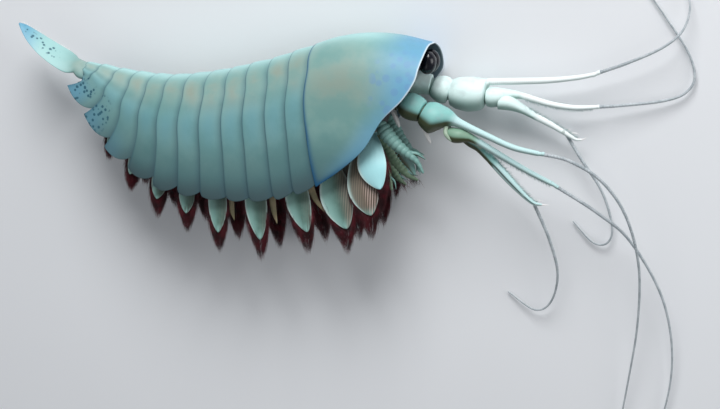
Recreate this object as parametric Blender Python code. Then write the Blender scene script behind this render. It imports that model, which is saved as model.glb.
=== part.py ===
"""A shrimp-like fossil arthropod restored in the round, lying on its left flank.

Sizes are in millimetres and become metres when a point is placed. +X runs to the head,
+Y to the back, and +Z from the left flank, which rests on the floor, to the right one.
The body has a head shield, twelve overlapping back plates, a tail fan, a soft trunk inside,
two eyes, two great arms with three whips each, six head legs and ten pairs of swimming flaps.
"""

import math

import bmesh
import bpy
import numpy as np
from mathutils import Matrix, Vector

MM = 0.001

# Where the drawing's zero lies from the middle of the whole object's box
BOX_MIDDLE = (-7.16, -4.58)

# Cross-section of the plates
MIDPLANE = 18.0
WIDEST_SHARE = 0.5
SIDE_SHARE = 0.62
SQUARENESS = 0.8
TUCK = 0.19
PLATE_THICKNESS = 0.5
PLATE_STEP = 0.95
PLATE_OVERLAP = 0.25
CORNER_CUTS = (0.015, 0.06)

# Rear edges of the shield and of back plates 1 to 12, from the head to the tail:
# back line x and y, lean of the flank, sweep of the lower corner, lower edge y, half width
REAR_EDGES = (
    (-16.2, 58.5, 0.5, 3.4, 8.6, 19.0),
    (-24.4, 55.7, 2.6, 1.0, 5.6, 19.0),
    (-32.4, 52.9, 3.0, 1.0, 3.4, 19.0),
    (-40.5, 50.8, 2.8, 0.1, 2.4, 19.0),
    (-47.8, 48.9, 1.8, -0.4, 2.3, 19.0),
    (-55.6, 47.3, 1.0, -1.7, 2.7, 18.9),
    (-63.4, 46.1, 0.4, -2.4, 3.4, 18.3),
    (-71.0, 45.4, -0.6, -4.0, 5.4, 16.8),
    (-78.0, 45.5, -1.6, -6.6, 11.4, 14.2),
    (-84.9, 46.2, -2.4, -8.6, 18.8, 11.6),
    (-92.0, 47.1, -2.4, -10.2, 30.4, 8.8),
    (-99.2, 48.4, -1.0, -11.6, 40.6, 6.2),
    (-105.2, 49.0, 0.0, -1.0, 43.0, 4.2),
)

# Head shield: its back line and its lower edge, from the brow to the rear corner
SHIELD_BACK = ((-16.2, 58.5), (-8.0, 61.2), (2.4, 62.8), (14.0, 62.5), (26.6, 60.0))
SHIELD_EDGE = (
    (26.6, 60.0),
    (26.3, 57.4),
    (25.2, 52.6),
    (24.1, 47.9),
    (20.0, 41.4),
    (12.8, 34.0),
    (6.2, 23.6),
    (-3.0, 15.2),
    (-12.3, 8.6),
)
SHIELD_EDGE_LOWEST = 6.0
# How far the left half of the edge bows forward beside the eyes
LEFT_EDGE_BOW = 2.4

# Trunk inside the plates: x, top, underside, half width
TRUNK_SECTIONS = (
    (-105.2, 46.6, 44.2, 1.2),
    (-99.0, 46.0, 41.5, 3.4),
    (-92.0, 44.8, 36.0, 5.6),
    (-85.0, 43.8, 30.0, 8.4),
    (-78.0, 43.2, 24.0, 11.0),
    (-68.0, 43.2, 18.5, 13.6),
    (-56.0, 45.0, 15.8, 15.0),
    (-40.0, 48.4, 14.8, 15.4),
    (-24.0, 53.2, 15.6, 15.4),
    (-8.0, 58.0, 18.8, 15.0),
    (4.0, 60.0, 26.0, 14.0),
    (9.8, 59.6, 31.0, 13.0),
    (11.4, 58.6, 49.6, 11.6),
    (17.0, 58.2, 49.8, 11.2),
    (22.2, 56.8, 51.0, 9.4),
)

# Tail fan: middle line x and y, half width, half thickness
TAIL_SECTIONS = (
    (-106.9, 45.3, 4.5, 2.4),
    (-109.4, 47.0, 4.2, 1.9),
    (-112.2, 48.6, 3.9, 1.4),
    (-115.4, 50.3, 4.4, 1.05),
    (-118.8, 52.1, 4.5, 0.9),
    (-122.7, 54.5, 4.3, 0.85),
    (-127.1, 57.9, 3.4, 0.7),
    (-130.6, 61.2, 1.8, 0.5),
    (-132.55, 62.75, 0.4, 0.3),
)
TAIL_ROLL = math.radians(55)

# Eyes: middle x and y, distance from the midplane, and the ball's half sizes
EYE = (25.5, 53.2, 2.9)
EYE_HALF_SIZES = (3.3, 4.2, 2.6)

# Arms: x, y, z, radius of each ring, and how many first rings keep the limb's own direction
ARMS = {
    "left": {
        "peduncle_1": (
            (12.2, 45.4, 12.0, 3.0),
            (15.0, 45.1, 11.6, 3.7),
            (20.0, 44.6, 11.2, 3.8),
            (24.6, 44.0, 11.0, 3.4),
        ),
        "peduncle_2": (
            (25.4, 43.7, 10.8, 3.5),
            (27.4, 42.9, 10.6, 4.7),
            (29.8, 42.1, 10.4, 5.0),
            (31.2, 41.7, 10.2, 4.1),
        ),
        "finger_1": (
            (32.6, 41.2, 10.0, 4.5),
            (34.6, 41.1, 10.0, 5.8),
            (39.4, 40.9, 10.0, 6.3),
            (44.2, 41.5, 10.0, 5.2),
            (45.3, 45.2, 9.9, 1.7),
            (47.6, 45.7, 9.8, 1.3),
            (56.0, 46.1, 9.3, 1.25),
            (68.0, 46.8, 8.8, 1.1),
            (78.0, 48.1, 8.3, 0.9),
            (83.7, 49.4, 8.0, 0.75),
        ),
        "finger_2": (
            (45.9, 40.1, 10.0, 3.0),
            (46.8, 40.1, 10.0, 3.5),
            (48.4, 40.7, 9.9, 3.1),
            (50.6, 42.2, 9.7, 1.3),
            (56.2, 41.3, 9.2, 1.15),
            (67.7, 38.2, 8.3, 1.05),
            (76.0, 37.1, 7.6, 0.95),
            (83.4, 37.4, 7.0, 0.75),
        ),
        "finger_3": (
            (50.6, 38.3, 10.0, 1.4),
            (51.8, 38.6, 10.0, 2.1),
            (53.8, 38.4, 9.9, 1.9),
            (57.0, 37.0, 9.3, 1.45),
            (62.0, 33.9, 8.6, 1.35),
            (67.8, 30.9, 8.0, 1.15),
            (72.8, 28.0, 7.4, 0.95),
            (77.0, 25.6, 7.0, 0.6),
            (79.4, 25.6, 7.0, 0.3),
        ),
    },
    "right": {
        "peduncle_1": (
            (12.6, 41.5, 23.8, 3.2),
            (14.0, 40.9, 24.0, 4.1),
            (15.6, 40.2, 24.3, 4.1),
            (17.1, 39.5, 24.6, 3.4),
        ),
        "peduncle_2": (
            (17.7, 39.0, 24.8, 3.7),
            (19.8, 38.2, 25.0, 4.8),
            (22.6, 37.2, 25.2, 4.7),
            (24.8, 36.3, 25.4, 3.8),
        ),
        "finger_1": (
            (25.5, 35.9, 25.5, 4.1),
            (27.4, 35.0, 25.6, 5.3),
            (30.0, 33.7, 25.7, 5.6),
            (32.8, 33.7, 25.7, 4.0),
            (35.2, 33.7, 25.8, 2.1),
            (38.0, 32.8, 25.8, 1.4),
            (48.2, 28.7, 26.3, 1.2),
            (58.0, 24.9, 26.7, 1.1),
            (67.3, 23.1, 27.0, 0.9),
        ),
        "finger_2": (
            (34.8, 28.9, 25.2, 1.8),
            (36.4, 28.3, 25.4, 2.7),
            (38.9, 28.0, 25.6, 2.6),
            (41.2, 27.7, 25.4, 1.9),
            (44.0, 26.7, 25.0, 1.35),
            (54.0, 20.8, 23.6, 1.15),
            (63.0, 15.8, 22.7, 1.0),
            (71.8, 11.5, 22.0, 0.85),
        ),
        "finger_3": (
            (40.0, 26.4, 21.4, 1.5),
            (42.0, 25.5, 21.4, 1.9),
            (44.6, 23.9, 21.4, 1.6),
            (47.4, 21.2, 21.4, 1.4),
            (55.6, 12.4, 21.0, 1.25),
            (61.0, 6.9, 20.4, 1.05),
            (64.6, 4.1, 20.0, 0.8),
            (67.6, 3.6, 20.0, 0.35),
        ),
    },
}
JOINT_RINGS = 5

# Whips: the points each one runs through, and its radius at the root and at the tip
WHIPS = {
    "left": {
        "flagellum_1": (
            (84.3, 49.7, 8.0),
            (95.7, 54.1, 9.0),
            (107.0, 59.5, 8.8),
            (113.6, 65.2, 7.5),
            (115.9, 72.6, 5.2),
            (114.4, 79.6, 3.0),
            (110.6, 86.6, 1.2),
        ),
        "flagellum_2": (
            (84.1, 37.5, 7.0),
            (94.0, 38.3, 5.2),
            (107.0, 40.0, 3.3),
            (114.6, 42.8, 2.4),
            (118.0, 48.4, 2.0),
            (115.5, 57.3, 1.7),
            (107.3, 69.4, 1.3),
            (99.4, 80.0, 1.0),
        ),
        "flagellum_3": (
            (73.4, 26.9, 5.3),
            (79.1, 17.9, 5.5),
            (86.6, 6.3, 4.4),
            (90.3, -6.6, 3.0),
            (88.4, -12.8, 2.2),
            (83.0, -12.8, 1.5),
            (75.7, -5.5, 1.0),
        ),
    },
    "right": {
        "flagellum_1": (
            (68.0, 23.1, 27.0),
            (78.0, 20.8, 26.0),
            (89.3, 13.6, 24.0),
            (97.6, 0.9, 21.0),
            (101.8, -18.0, 15.6),
            (101.2, -40.0, 9.8),
            (98.0, -62.0, 5.6),
            (94.2, -82.0, 2.6),
            (89.0, -95.8, 1.2),
        ),
        "flagellum_2": (
            (72.4, 11.1, 21.9),
            (87.0, 1.3, 18.0),
            (98.4, -9.2, 14.1),
            (109.4, -29.9, 8.5),
            (113.4, -52.0, 4.8),
            (111.0, -73.4, 2.6),
            (103.6, -91.5, 1.0),
        ),
        "flagellum_3": (
            (64.0, 4.0, 17.9),
            (69.4, -9.8, 14.8),
            (71.9, -23.4, 10.0),
            (68.8, -35.2, 5.0),
            (62.4, -39.1, 2.8),
            (52.1, -33.3, 1.0),
        ),
    },
}
WHIP_ROOT = 0.62
WHIP_TIP = 0.26

# Head legs of the right side: x, y, distance from the midplane, radius
LEGS = (
    (
        (9.6, 32.0, 9.6, 1.9),
        (12.0, 29.0, 10.4, 2.7),
        (16.0, 24.9, 11.0, 2.3),
        (20.6, 21.3, 11.2, 1.7),
        (24.0, 18.6, 11.2, 1.0),
        (26.3, 14.6, 11.2, 0.4),
    ),
    (
        (7.4, 25.2, 3.4, 1.6),
        (10.4, 21.8, 3.4, 2.1),
        (14.4, 16.6, 3.4, 1.7),
        (18.8, 12.5, 3.4, 1.2),
        (22.6, 10.6, 3.4, 0.4),
    ),
    (
        (6.4, 20.6, 6.6, 1.4),
        (9.8, 16.4, 6.8, 1.7),
        (12.5, 11.9, 7.0, 1.2),
        (13.8, 7.2, 7.2, 0.4),
    ),
)

# The left legs are swung back about their roots, and sit further back with the flaps beside them
LEG_SWING = {"right": 0.0, "left": math.radians(-14)}
HEAD_LIMB_SHIFT = {"right": 0.0, "left": -2.1}
HEAD_FLAPS = 3

# Swimming flaps of the right side: root x and y and distance from the midplane,
# widest point x and y and distance, tip x and y and distance, half width
FLAPS = (
    (6.6, 27.6, 8.0, 7.8, 17.6, 13.4, 11.4, 8.8, 14.6, 5.3),
    (1.6, 22.0, 7.0, 4.2, 9.0, 11.8, 7.6, -1.2, 13.0, 5.8),
    (-9.0, 17.0, 7.0, -6.2, 4.6, 10.4, -1.6, -6.8, 12.0, 6.0),
    (-22.6, 13.9, 7.0, -20.6, 2.4, 10.6, -16.6, -8.8, 11.6, 4.6),
    (-38.0, 13.2, 7.0, -36.6, 0.6, 10.6, -34.6, -12.6, 11.6, 4.2),
    (-52.8, 14.2, 7.0, -51.4, 0.4, 10.6, -50.8, -10.8, 11.4, 3.6),
    (-64.4, 16.0, 6.6, -63.4, 3.4, 10.0, -63.4, -4.4, 10.8, 3.2),
    (-74.8, 20.4, 5.6, -74.6, 6.6, 9.0, -75.2, 0.2, 9.6, 3.0),
    (-84.2, 28.0, 4.0, -85.0, 13.6, 7.2, -86.4, 8.6, 7.6, 2.4),
    (-92.0, 34.6, 2.6, -93.8, 23.4, 5.2, -95.8, 19.4, 5.6, 1.9),
)
FLAP_HALF_THICKNESS = 0.45
FLAP_ROOT_HALF_WIDTH = 1.2
FLAP_TIP_HALF_WIDTH = 0.25

# Base colours
SHELL_COLOUR = (0.36, 0.56, 0.56)
FLESH_COLOUR = (0.46, 0.42, 0.36)
EYE_COLOUR = (0.01, 0.01, 0.012)
LIMB_COLOUR = (0.62, 0.70, 0.66)
WHIP_COLOUR = (0.66, 0.70, 0.72)
FLAP_COLOUR = (0.60, 0.68, 0.60)


def clear_scene():
    for old in list(bpy.data.objects):
        bpy.data.objects.remove(old, do_unlink=True)


def place(x, y, z):
    """A point of the drawing in metres, measured from the middle of the object's box."""
    return Vector(((x - BOX_MIDDLE[0]) * MM, (y - BOX_MIDDLE[1]) * MM, z * MM))


def finish(obj, colour, roughness):
    """Gives an object its own plain material."""
    material = bpy.data.materials.new(obj.name + "_finish")
    material.use_nodes = True
    shader = material.node_tree.nodes["Principled BSDF"]
    shader.inputs["Base Color"].default_value = (*colour, 1.0)
    shader.inputs["Roughness"].default_value = roughness
    shader.inputs["Metallic"].default_value = 0.0
    obj.data.materials.append(material)


def add_mesh(name, bm, colour, roughness):
    """A smooth-shaded object from a bmesh."""
    mesh = bpy.data.meshes.new(name)
    bm.to_mesh(mesh)
    bm.free()
    mesh.shade_smooth()
    mesh.set_sharp_from_angle(angle=math.radians(50))
    obj = bpy.data.objects.new(name, mesh)
    bpy.context.collection.objects.link(obj)
    finish(obj, colour, roughness)
    return obj


def spline(points, count):
    """Points evenly spread by step number along a Catmull-Rom curve through the given ones."""
    given = np.array(points, float)
    padded = np.vstack((2 * given[0] - given[1], given, 2 * given[-1] - given[-2]))
    steps = np.linspace(0, len(given) - 1, count)
    first = np.minimum(steps.astype(int), len(given) - 2)
    t = (steps - first)[:, None]
    a, b, c, d = (padded[first + k] for k in range(4))
    return 0.5 * (2 * b + (c - a) * t + (2 * a - 5 * b + 4 * c - d) * t**2 + (3 * b - a - 3 * c + d) * t**3)


def arch_point(share, top, low, half_width, sunk):
    """The y and z of a plate's cross-section: a squared half ellipse from the back line to
    the widest line, then a flank that tucks in to the lower edge. share runs from -1 at the
    left lower edge through 0 at the back line to 1 at the right lower edge, and sunk is how
    far the surface lies inside the outermost one. The left flank is flat on the floor."""
    widest = low + WIDEST_SHARE * (top - low)
    reach = abs(share)
    half = half_width - sunk
    if reach < SIDE_SHARE:
        turn = reach / SIDE_SHARE * math.pi / 2
        across = half * math.sin(turn) ** SQUARENESS
        y = widest + (top - sunk - widest) * max(math.cos(turn), 0.0) ** SQUARENESS
    else:
        drop = (reach - SIDE_SHARE) / (1 - SIDE_SHARE)
        across = half * (1 - TUCK * drop**2)
        y = widest - (widest - low) * drop
    z = MIDPLANE + math.copysign(across, share)
    return y, max(z, sunk)


def edge_x(x_back, lean, sweep, share):
    """The x of a plate's rear edge: it leans with the flank and sweeps at the lower corner."""
    reach = abs(share)
    return x_back + lean * math.sin(reach * math.pi / 2) + sweep * reach**4


def shell(name, columns, rows, point, thickness):
    """A grid whose two directions run over 0 to 1 and -1 to 1, moved onto point(u, share) and
    given its thickness inwards."""
    bm = bmesh.new()
    bmesh.ops.create_grid(bm, x_segments=columns, y_segments=rows, size=1)
    for vertex in bm.verts:
        u = (vertex.co.x + 1) / 2
        vertex.co = place(*point(u, -vertex.co.y))
    obj = add_mesh(name, bm, SHELL_COLOUR, 0.4)
    wall = obj.modifiers.new("wall", "SOLIDIFY")
    wall.thickness = thickness * MM
    wall.offset = -1
    return obj


def back_plate(number):
    """One back plate, from its own rear edge to its front, which runs on under the surface of
    the plate before it."""
    front = np.array(REAR_EDGES[number - 1])
    rear = np.array(REAR_EDGES[number])
    before = np.array(REAR_EDGES[number - 2]) if number > 1 else 2 * front - rear
    corner_cut = np.interp(number, (6, 10), CORNER_CUTS)

    def point(u, share):
        along = float(np.interp(u, (0, 0.5, 1), (1, 0, -PLATE_OVERLAP)))
        ahead = before if along < 0 else rear
        x_back, top, lean, sweep, low, half = front + (ahead - front) * abs(along)
        sunk = PLATE_STEP * (1 - along)
        share *= 1 - corner_cut * (1 - along) ** 2
        y, z = arch_point(share, top, low, half, sunk)
        return edge_x(x_back, lean, sweep, share), y, z

    shell(f"tergite_{number:02d}", 2, 18, point, PLATE_THICKNESS)


def head_shield():
    """The shield: lines run from its rear edge to its front and lower edge over one arch."""
    x_back, _, lean, sweep, low, half = REAR_EDGES[0]
    back_x, back_y = np.array(SHIELD_BACK).T
    edge = spline(SHIELD_EDGE, 64)

    def top_at(x):
        return np.interp(x, *spline(SHIELD_BACK, 64).T)

    def low_at(x):
        return float(np.interp(x, (back_x[0], back_x[-1]), (low, SHIELD_EDGE_LOWEST)))

    def share_at(x, y):
        """The arch's share whose height is y."""
        widest = low_at(x) + WIDEST_SHARE * (top_at(x) - low_at(x))
        if y >= widest:
            rise = min((y - widest) / (top_at(x) - widest), 1.0)
            return SIDE_SHARE * math.acos(rise ** (1 / SQUARENESS)) / (math.pi / 2)
        return SIDE_SHARE + (1 - SIDE_SHARE) * (widest - y) / (widest - low_at(x))

    def point(u, share):
        reach = abs(share)
        step = reach * (len(edge) - 1)
        edge_point_x = float(np.interp(step, range(len(edge)), edge[:, 0]))
        edge_point_y = float(np.interp(step, range(len(edge)), edge[:, 1]))
        if share < 0:
            edge_point_x += LEFT_EDGE_BOW * math.exp(-(((reach - 0.29) / 0.165) ** 2))
        rear_x = edge_x(x_back, lean, sweep, reach)
        x = rear_x + (edge_point_x - rear_x) * u
        edge_share = share_at(edge_point_x, edge_point_y)
        there = reach + (edge_share - reach) * u
        y, z = arch_point(math.copysign(there, share), top_at(x), low_at(x), half, 0.0)
        return x, y, z

    shell("head_shield", 9, 20, point, PLATE_THICKNESS)


def ring_frame(centre, along, wide, half_wide, half_thin):
    """The matrix that takes a unit circle to an oval ring across the direction along."""
    forward = Vector(along).normalized()
    side = Vector(wide)
    side = (side - forward * side.dot(forward)).normalized()
    up = forward.cross(side)
    frame = Matrix.Identity(4)
    frame.col[0] = (*side * half_wide * MM, 0)
    frame.col[1] = (*up * half_thin * MM, 0)
    frame.col[2] = (*forward * MM, 0)
    frame.col[3] = (*place(*centre), 1)
    return frame


def swept_body(name, frames, sides, colour, roughness):
    """A closed body made from one capped circle, extruded from ring to ring."""
    bm = bmesh.new()
    bmesh.ops.create_circle(bm, cap_ends=True, segments=sides, radius=1, matrix=frames[0])
    first = end = bm.faces[:]
    for before, after in zip(frames, frames[1:]):
        made = bmesh.ops.extrude_face_region(bm, geom=end)["geom"]
        if end is not first:
            bmesh.ops.delete(bm, geom=end, context="FACES_ONLY")
        bmesh.ops.transform(
            bm,
            matrix=after @ before.inverted(),
            verts=[item for item in made if isinstance(item, bmesh.types.BMVert)],
        )
        end = [item for item in made if isinstance(item, bmesh.types.BMFace)]
    bmesh.ops.recalc_face_normals(bm, faces=bm.faces)
    return add_mesh(name, bm, colour, roughness)


def trunk():
    frames = [
        ring_frame((x, (top + low) / 2, MIDPLANE), (1, 0, 0), (0, 0, 1), half, (top - low) / 2)
        for x, top, low, half in TRUNK_SECTIONS
    ]
    swept_body("trunk_core", frames, 14, FLESH_COLOUR, 0.6)


def tail_fan():
    middle = np.array(TAIL_SECTIONS)[:, :2]
    run = np.gradient(middle, axis=0)
    frames = []
    for (x, y, wide, thin), (run_x, run_y) in zip(TAIL_SECTIONS, run):
        across = Vector((run_y, -run_x, 0)).normalized() * math.cos(TAIL_ROLL)
        across.z = -math.sin(TAIL_ROLL)
        frames.append(ring_frame((x, y, MIDPLANE), (run_x, run_y, 0), across, wide, thin))
    swept_body("telson", frames, 10, SHELL_COLOUR, 0.4)


def eye(side, sign):
    bm = bmesh.new()
    centre = place(EYE[0], EYE[1], MIDPLANE + sign * EYE[2])
    ball = Matrix.Translation(centre) @ Matrix.Diagonal((*EYE_HALF_SIZES, 1 / MM)) * MM
    bmesh.ops.create_uvsphere(bm, u_segments=12, v_segments=7, radius=1, matrix=ball)
    add_mesh(f"eye_{side}", bm, EYE_COLOUR, 0.08)


def limb(name, rings, sides, straight=0):
    """A limb of round rings, of which the first few keep the direction of the limb's joint."""
    points = np.array(rings, float)
    run = np.gradient(points[:, :3], axis=0)
    if straight:
        run[:straight] = points[2, :3] - points[0, :3]
    frames = [
        ring_frame(row[:3], direction, (0, 0, 1), row[3], row[3])
        for row, direction in zip(points, run)
    ]
    swept_body(name, frames, sides, LIMB_COLOUR, 0.4)


def whip(name, points):
    """A tapering whip as a tube along a smooth curve."""
    path = spline(points, 4 * (len(points) - 1) + 1)
    data = bpy.data.curves.new(name, "CURVE")
    data.dimensions = "3D"
    data.bevel_depth = MM
    data.bevel_resolution = 1
    data.use_fill_caps = True
    line = data.splines.new("POLY")
    line.points.add(len(path) - 1)
    for number, (target, where) in enumerate(zip(line.points, path)):
        target.co = (*place(*where), 1)
        target.radius = WHIP_ROOT + (WHIP_TIP - WHIP_ROOT) * number / (len(path) - 1)
    obj = bpy.data.objects.new(name, data)
    bpy.context.collection.objects.link(obj)
    finish(obj, WHIP_COLOUR, 0.45)


def leg(side, sign, number, rings):
    """A head leg, swung about its root in the plane of the flank."""
    root_x, root_y = rings[0][:2]
    shift = HEAD_LIMB_SHIFT[side]
    cos, sin = math.cos(LEG_SWING[side]), math.sin(LEG_SWING[side])
    placed = []
    for x, y, out, radius in rings:
        ahead, up = x - root_x, y - root_y
        swung_x = root_x + ahead * cos - up * sin
        swung_y = root_y + ahead * sin + up * cos
        placed.append((swung_x + shift, swung_y, MIDPLANE + sign * out, radius))
    limb(f"leg_{side}_{number}", placed, 8)


def flap(side, sign, number, values):
    """A leaf that narrows to its root at the belly and to its tip, bent outwards."""
    root, widest, tip, half = values[0:3], values[3:6], values[6:9], values[9]
    line = spline((root, widest, tip), 7)
    rise = np.linspace(0, 1, 7)
    near_root = FLAP_ROOT_HALF_WIDTH + (half - FLAP_ROOT_HALF_WIDTH) * np.sin(rise * math.pi) ** 0.8
    near_tip = FLAP_TIP_HALF_WIDTH + (half - FLAP_TIP_HALF_WIDTH) * np.sin(rise * math.pi) ** 0.6
    widths = np.where(rise < 0.5, near_root, near_tip)
    line[:, 2] = MIDPLANE + sign * line[:, 2]
    if number <= HEAD_FLAPS:
        line[:, 0] += HEAD_LIMB_SHIFT[side]
    run = np.gradient(line, axis=0)
    frames = [
        ring_frame(where, direction, (1, 0, 0), width, FLAP_HALF_THICKNESS)
        for where, direction, width in zip(line, run, widths)
    ]
    swept_body(f"flap_{side}_{number:02d}", frames, 8, FLAP_COLOUR, 0.5)


def main():
    clear_scene()
    head_shield()
    for number in range(1, len(REAR_EDGES)):
        back_plate(number)
    tail_fan()
    trunk()
    for side, sign in (("right", 1), ("left", -1)):
        eye(side, sign)
        for part, rings in ARMS[side].items():
            straight = JOINT_RINGS if part.startswith("finger") else 0
            limb(f"arm_{side}_{part}", rings, 8 if straight else 10, straight)
        for part, points in WHIPS[side].items():
            whip(f"arm_{side}_{part}", points)
        for number, rings in enumerate(LEGS, 1):
            leg(side, sign, number, rings)
        for number, values in enumerate(FLAPS, 1):
            flap(side, sign, number, values)


main()
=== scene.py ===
"""Looks of a shrimp-like fossil arthropod restored in the round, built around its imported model.

Lengths are in the drawing's millimetres and become metres when a mesh is made. +X runs to the
head, +Y to the back, and +Z from the left flank, which rests on the floor, to the right one.
A part is one closed surface: its points, its faces, the surface coordinates at each face's
corners, and marks, which are shares from 0 to 1 at its points that the materials read.
"""

import math

import bpy
import numpy as np
from mathutils import Matrix, Vector


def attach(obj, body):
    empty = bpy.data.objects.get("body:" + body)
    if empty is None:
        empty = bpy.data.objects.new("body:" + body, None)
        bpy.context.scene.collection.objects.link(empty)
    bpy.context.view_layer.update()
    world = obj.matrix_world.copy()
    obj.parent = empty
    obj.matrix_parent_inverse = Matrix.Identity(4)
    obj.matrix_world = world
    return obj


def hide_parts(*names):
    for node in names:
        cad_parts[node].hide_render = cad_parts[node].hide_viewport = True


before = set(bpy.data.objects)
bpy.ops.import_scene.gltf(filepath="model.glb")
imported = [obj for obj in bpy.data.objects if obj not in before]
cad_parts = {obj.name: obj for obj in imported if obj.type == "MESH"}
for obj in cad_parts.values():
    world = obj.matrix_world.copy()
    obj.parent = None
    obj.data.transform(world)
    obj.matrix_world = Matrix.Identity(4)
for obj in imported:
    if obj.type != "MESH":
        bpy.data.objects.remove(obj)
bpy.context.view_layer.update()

MM = 0.001
BOX_MIDDLE = np.array((-7.16, -4.58, 0.0))
SIDES = (("right", 1), ("left", -1))

# Cross-section of the plates
MIDPLANE = 18.0
WIDEST_SHARE = 0.5
SIDE_SHARE = 0.62
SQUARENESS = 0.8
TUCK = 0.19
PLATE_THICKNESS = 0.36
PLATE_STEP = 0.55
PLATE_OVERLAP = 0.25
PLATE_PITCH = 7.8
CORNER_CUTS = (0.015, 0.1)
LOBES = (0.7, 1.6)
CORNER_SHARE = 0.955
CORNER_RADII = (1.5, 0.1)
SHOULDER_JOG = 0.5
SHIELD_THICKNESS = 0.5

# Rear edges of the shield and of back plates 1 to 12, from the head to the tail:
# back line x and y, lean of the flank, sweep of the lower corner, lower edge y, half width
REAR_EDGES = np.array((
    (-16.2, 58.5, 0.5, 3.4, 8.6, 19.0),
    (-24.4, 55.7, 2.6, 1.0, 5.6, 19.0),
    (-32.4, 52.9, 3.0, 1.0, 3.4, 19.0),
    (-40.5, 50.8, 2.8, 0.1, 2.4, 19.0),
    (-47.8, 48.9, 1.8, -0.4, 2.3, 19.0),
    (-55.6, 47.3, 1.0, -1.7, 2.7, 18.9),
    (-63.4, 46.1, 0.4, -2.4, 3.4, 18.3),
    (-71.0, 45.4, -0.6, -4.0, 5.4, 16.8),
    (-78.0, 45.5, -1.6, -6.6, 11.4, 14.2),
    (-84.9, 46.2, -2.4, -8.6, 18.8, 11.6),
    (-92.0, 47.1, -2.4, -10.2, 30.4, 8.8),
    (-99.2, 48.4, -1.0, -11.6, 40.6, 6.2),
    (-105.2, 49.0, 0.0, -1.0, 43.0, 4.2),
))

# Head shield: its back line and its lower edge, from the brow to the rear corner
SHIELD_BACK = ((-16.2, 58.5), (-8.0, 61.2), (2.4, 62.8), (14.0, 62.5), (26.6, 60.0))
SHIELD_EDGE = (
    (26.6, 60.0), (26.3, 57.4), (25.2, 52.6), (24.1, 47.9), (20.0, 41.4), (12.8, 34.0), (6.2, 23.6),
    (-3.0, 15.2), (-12.3, 8.6),
)
SHIELD_EDGE_LOWEST = 6.0
# How far the left half of the edge bows forward beside the eyes
LEFT_EDGE_BOW = 2.4

# Trunk inside the plates: x, top, underside, half width
TRUNK_SECTIONS = (
    (-105.2, 46.6, 44.2, 1.2),
    (-99.0, 46.0, 41.5, 3.4),
    (-92.0, 44.8, 36.0, 5.6),
    (-85.0, 43.8, 30.0, 8.4),
    (-78.0, 43.2, 24.0, 11.0),
    (-68.0, 43.2, 18.5, 13.6),
    (-56.0, 45.0, 15.8, 15.0),
    (-40.0, 48.4, 14.8, 15.4),
    (-24.0, 53.2, 15.6, 15.4),
    (-8.0, 58.0, 18.8, 15.0),
    (4.0, 60.0, 26.0, 14.0),
    (9.8, 59.6, 31.0, 13.0),
    (11.4, 58.6, 49.6, 11.6),
    (17.0, 58.2, 49.8, 11.2),
    (22.2, 56.8, 51.0, 9.4),
)
TRUNK_RING_PITCH = 7.8

# Tail fan: middle line x and y, half width, half thickness
TAIL_SECTIONS = (
    (-104.2, 46.0, 3.8, 2.2),
    (-106.9, 45.8, 4.2, 2.3),
    (-109.4, 47.2, 3.5, 1.9),
    (-112.2, 47.9, 4.8, 1.4),
    (-115.4, 49.8, 5.2, 1.05),
    (-118.8, 51.8, 5.0, 0.9),
    (-122.7, 54.4, 4.5, 0.85),
    (-127.1, 57.9, 3.4, 0.7),
    (-130.6, 61.2, 1.8, 0.5),
    (-132.55, 62.75, 0.4, 0.3),
)
TAIL_ROLL = math.radians(55)

# Eyes: middle x and y, distance from the midplane, and the ball's half sizes
EYE = (25.5, 53.2, 2.9)
EYE_HALF_SIZES = (3.3, 4.2, 2.6)

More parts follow.
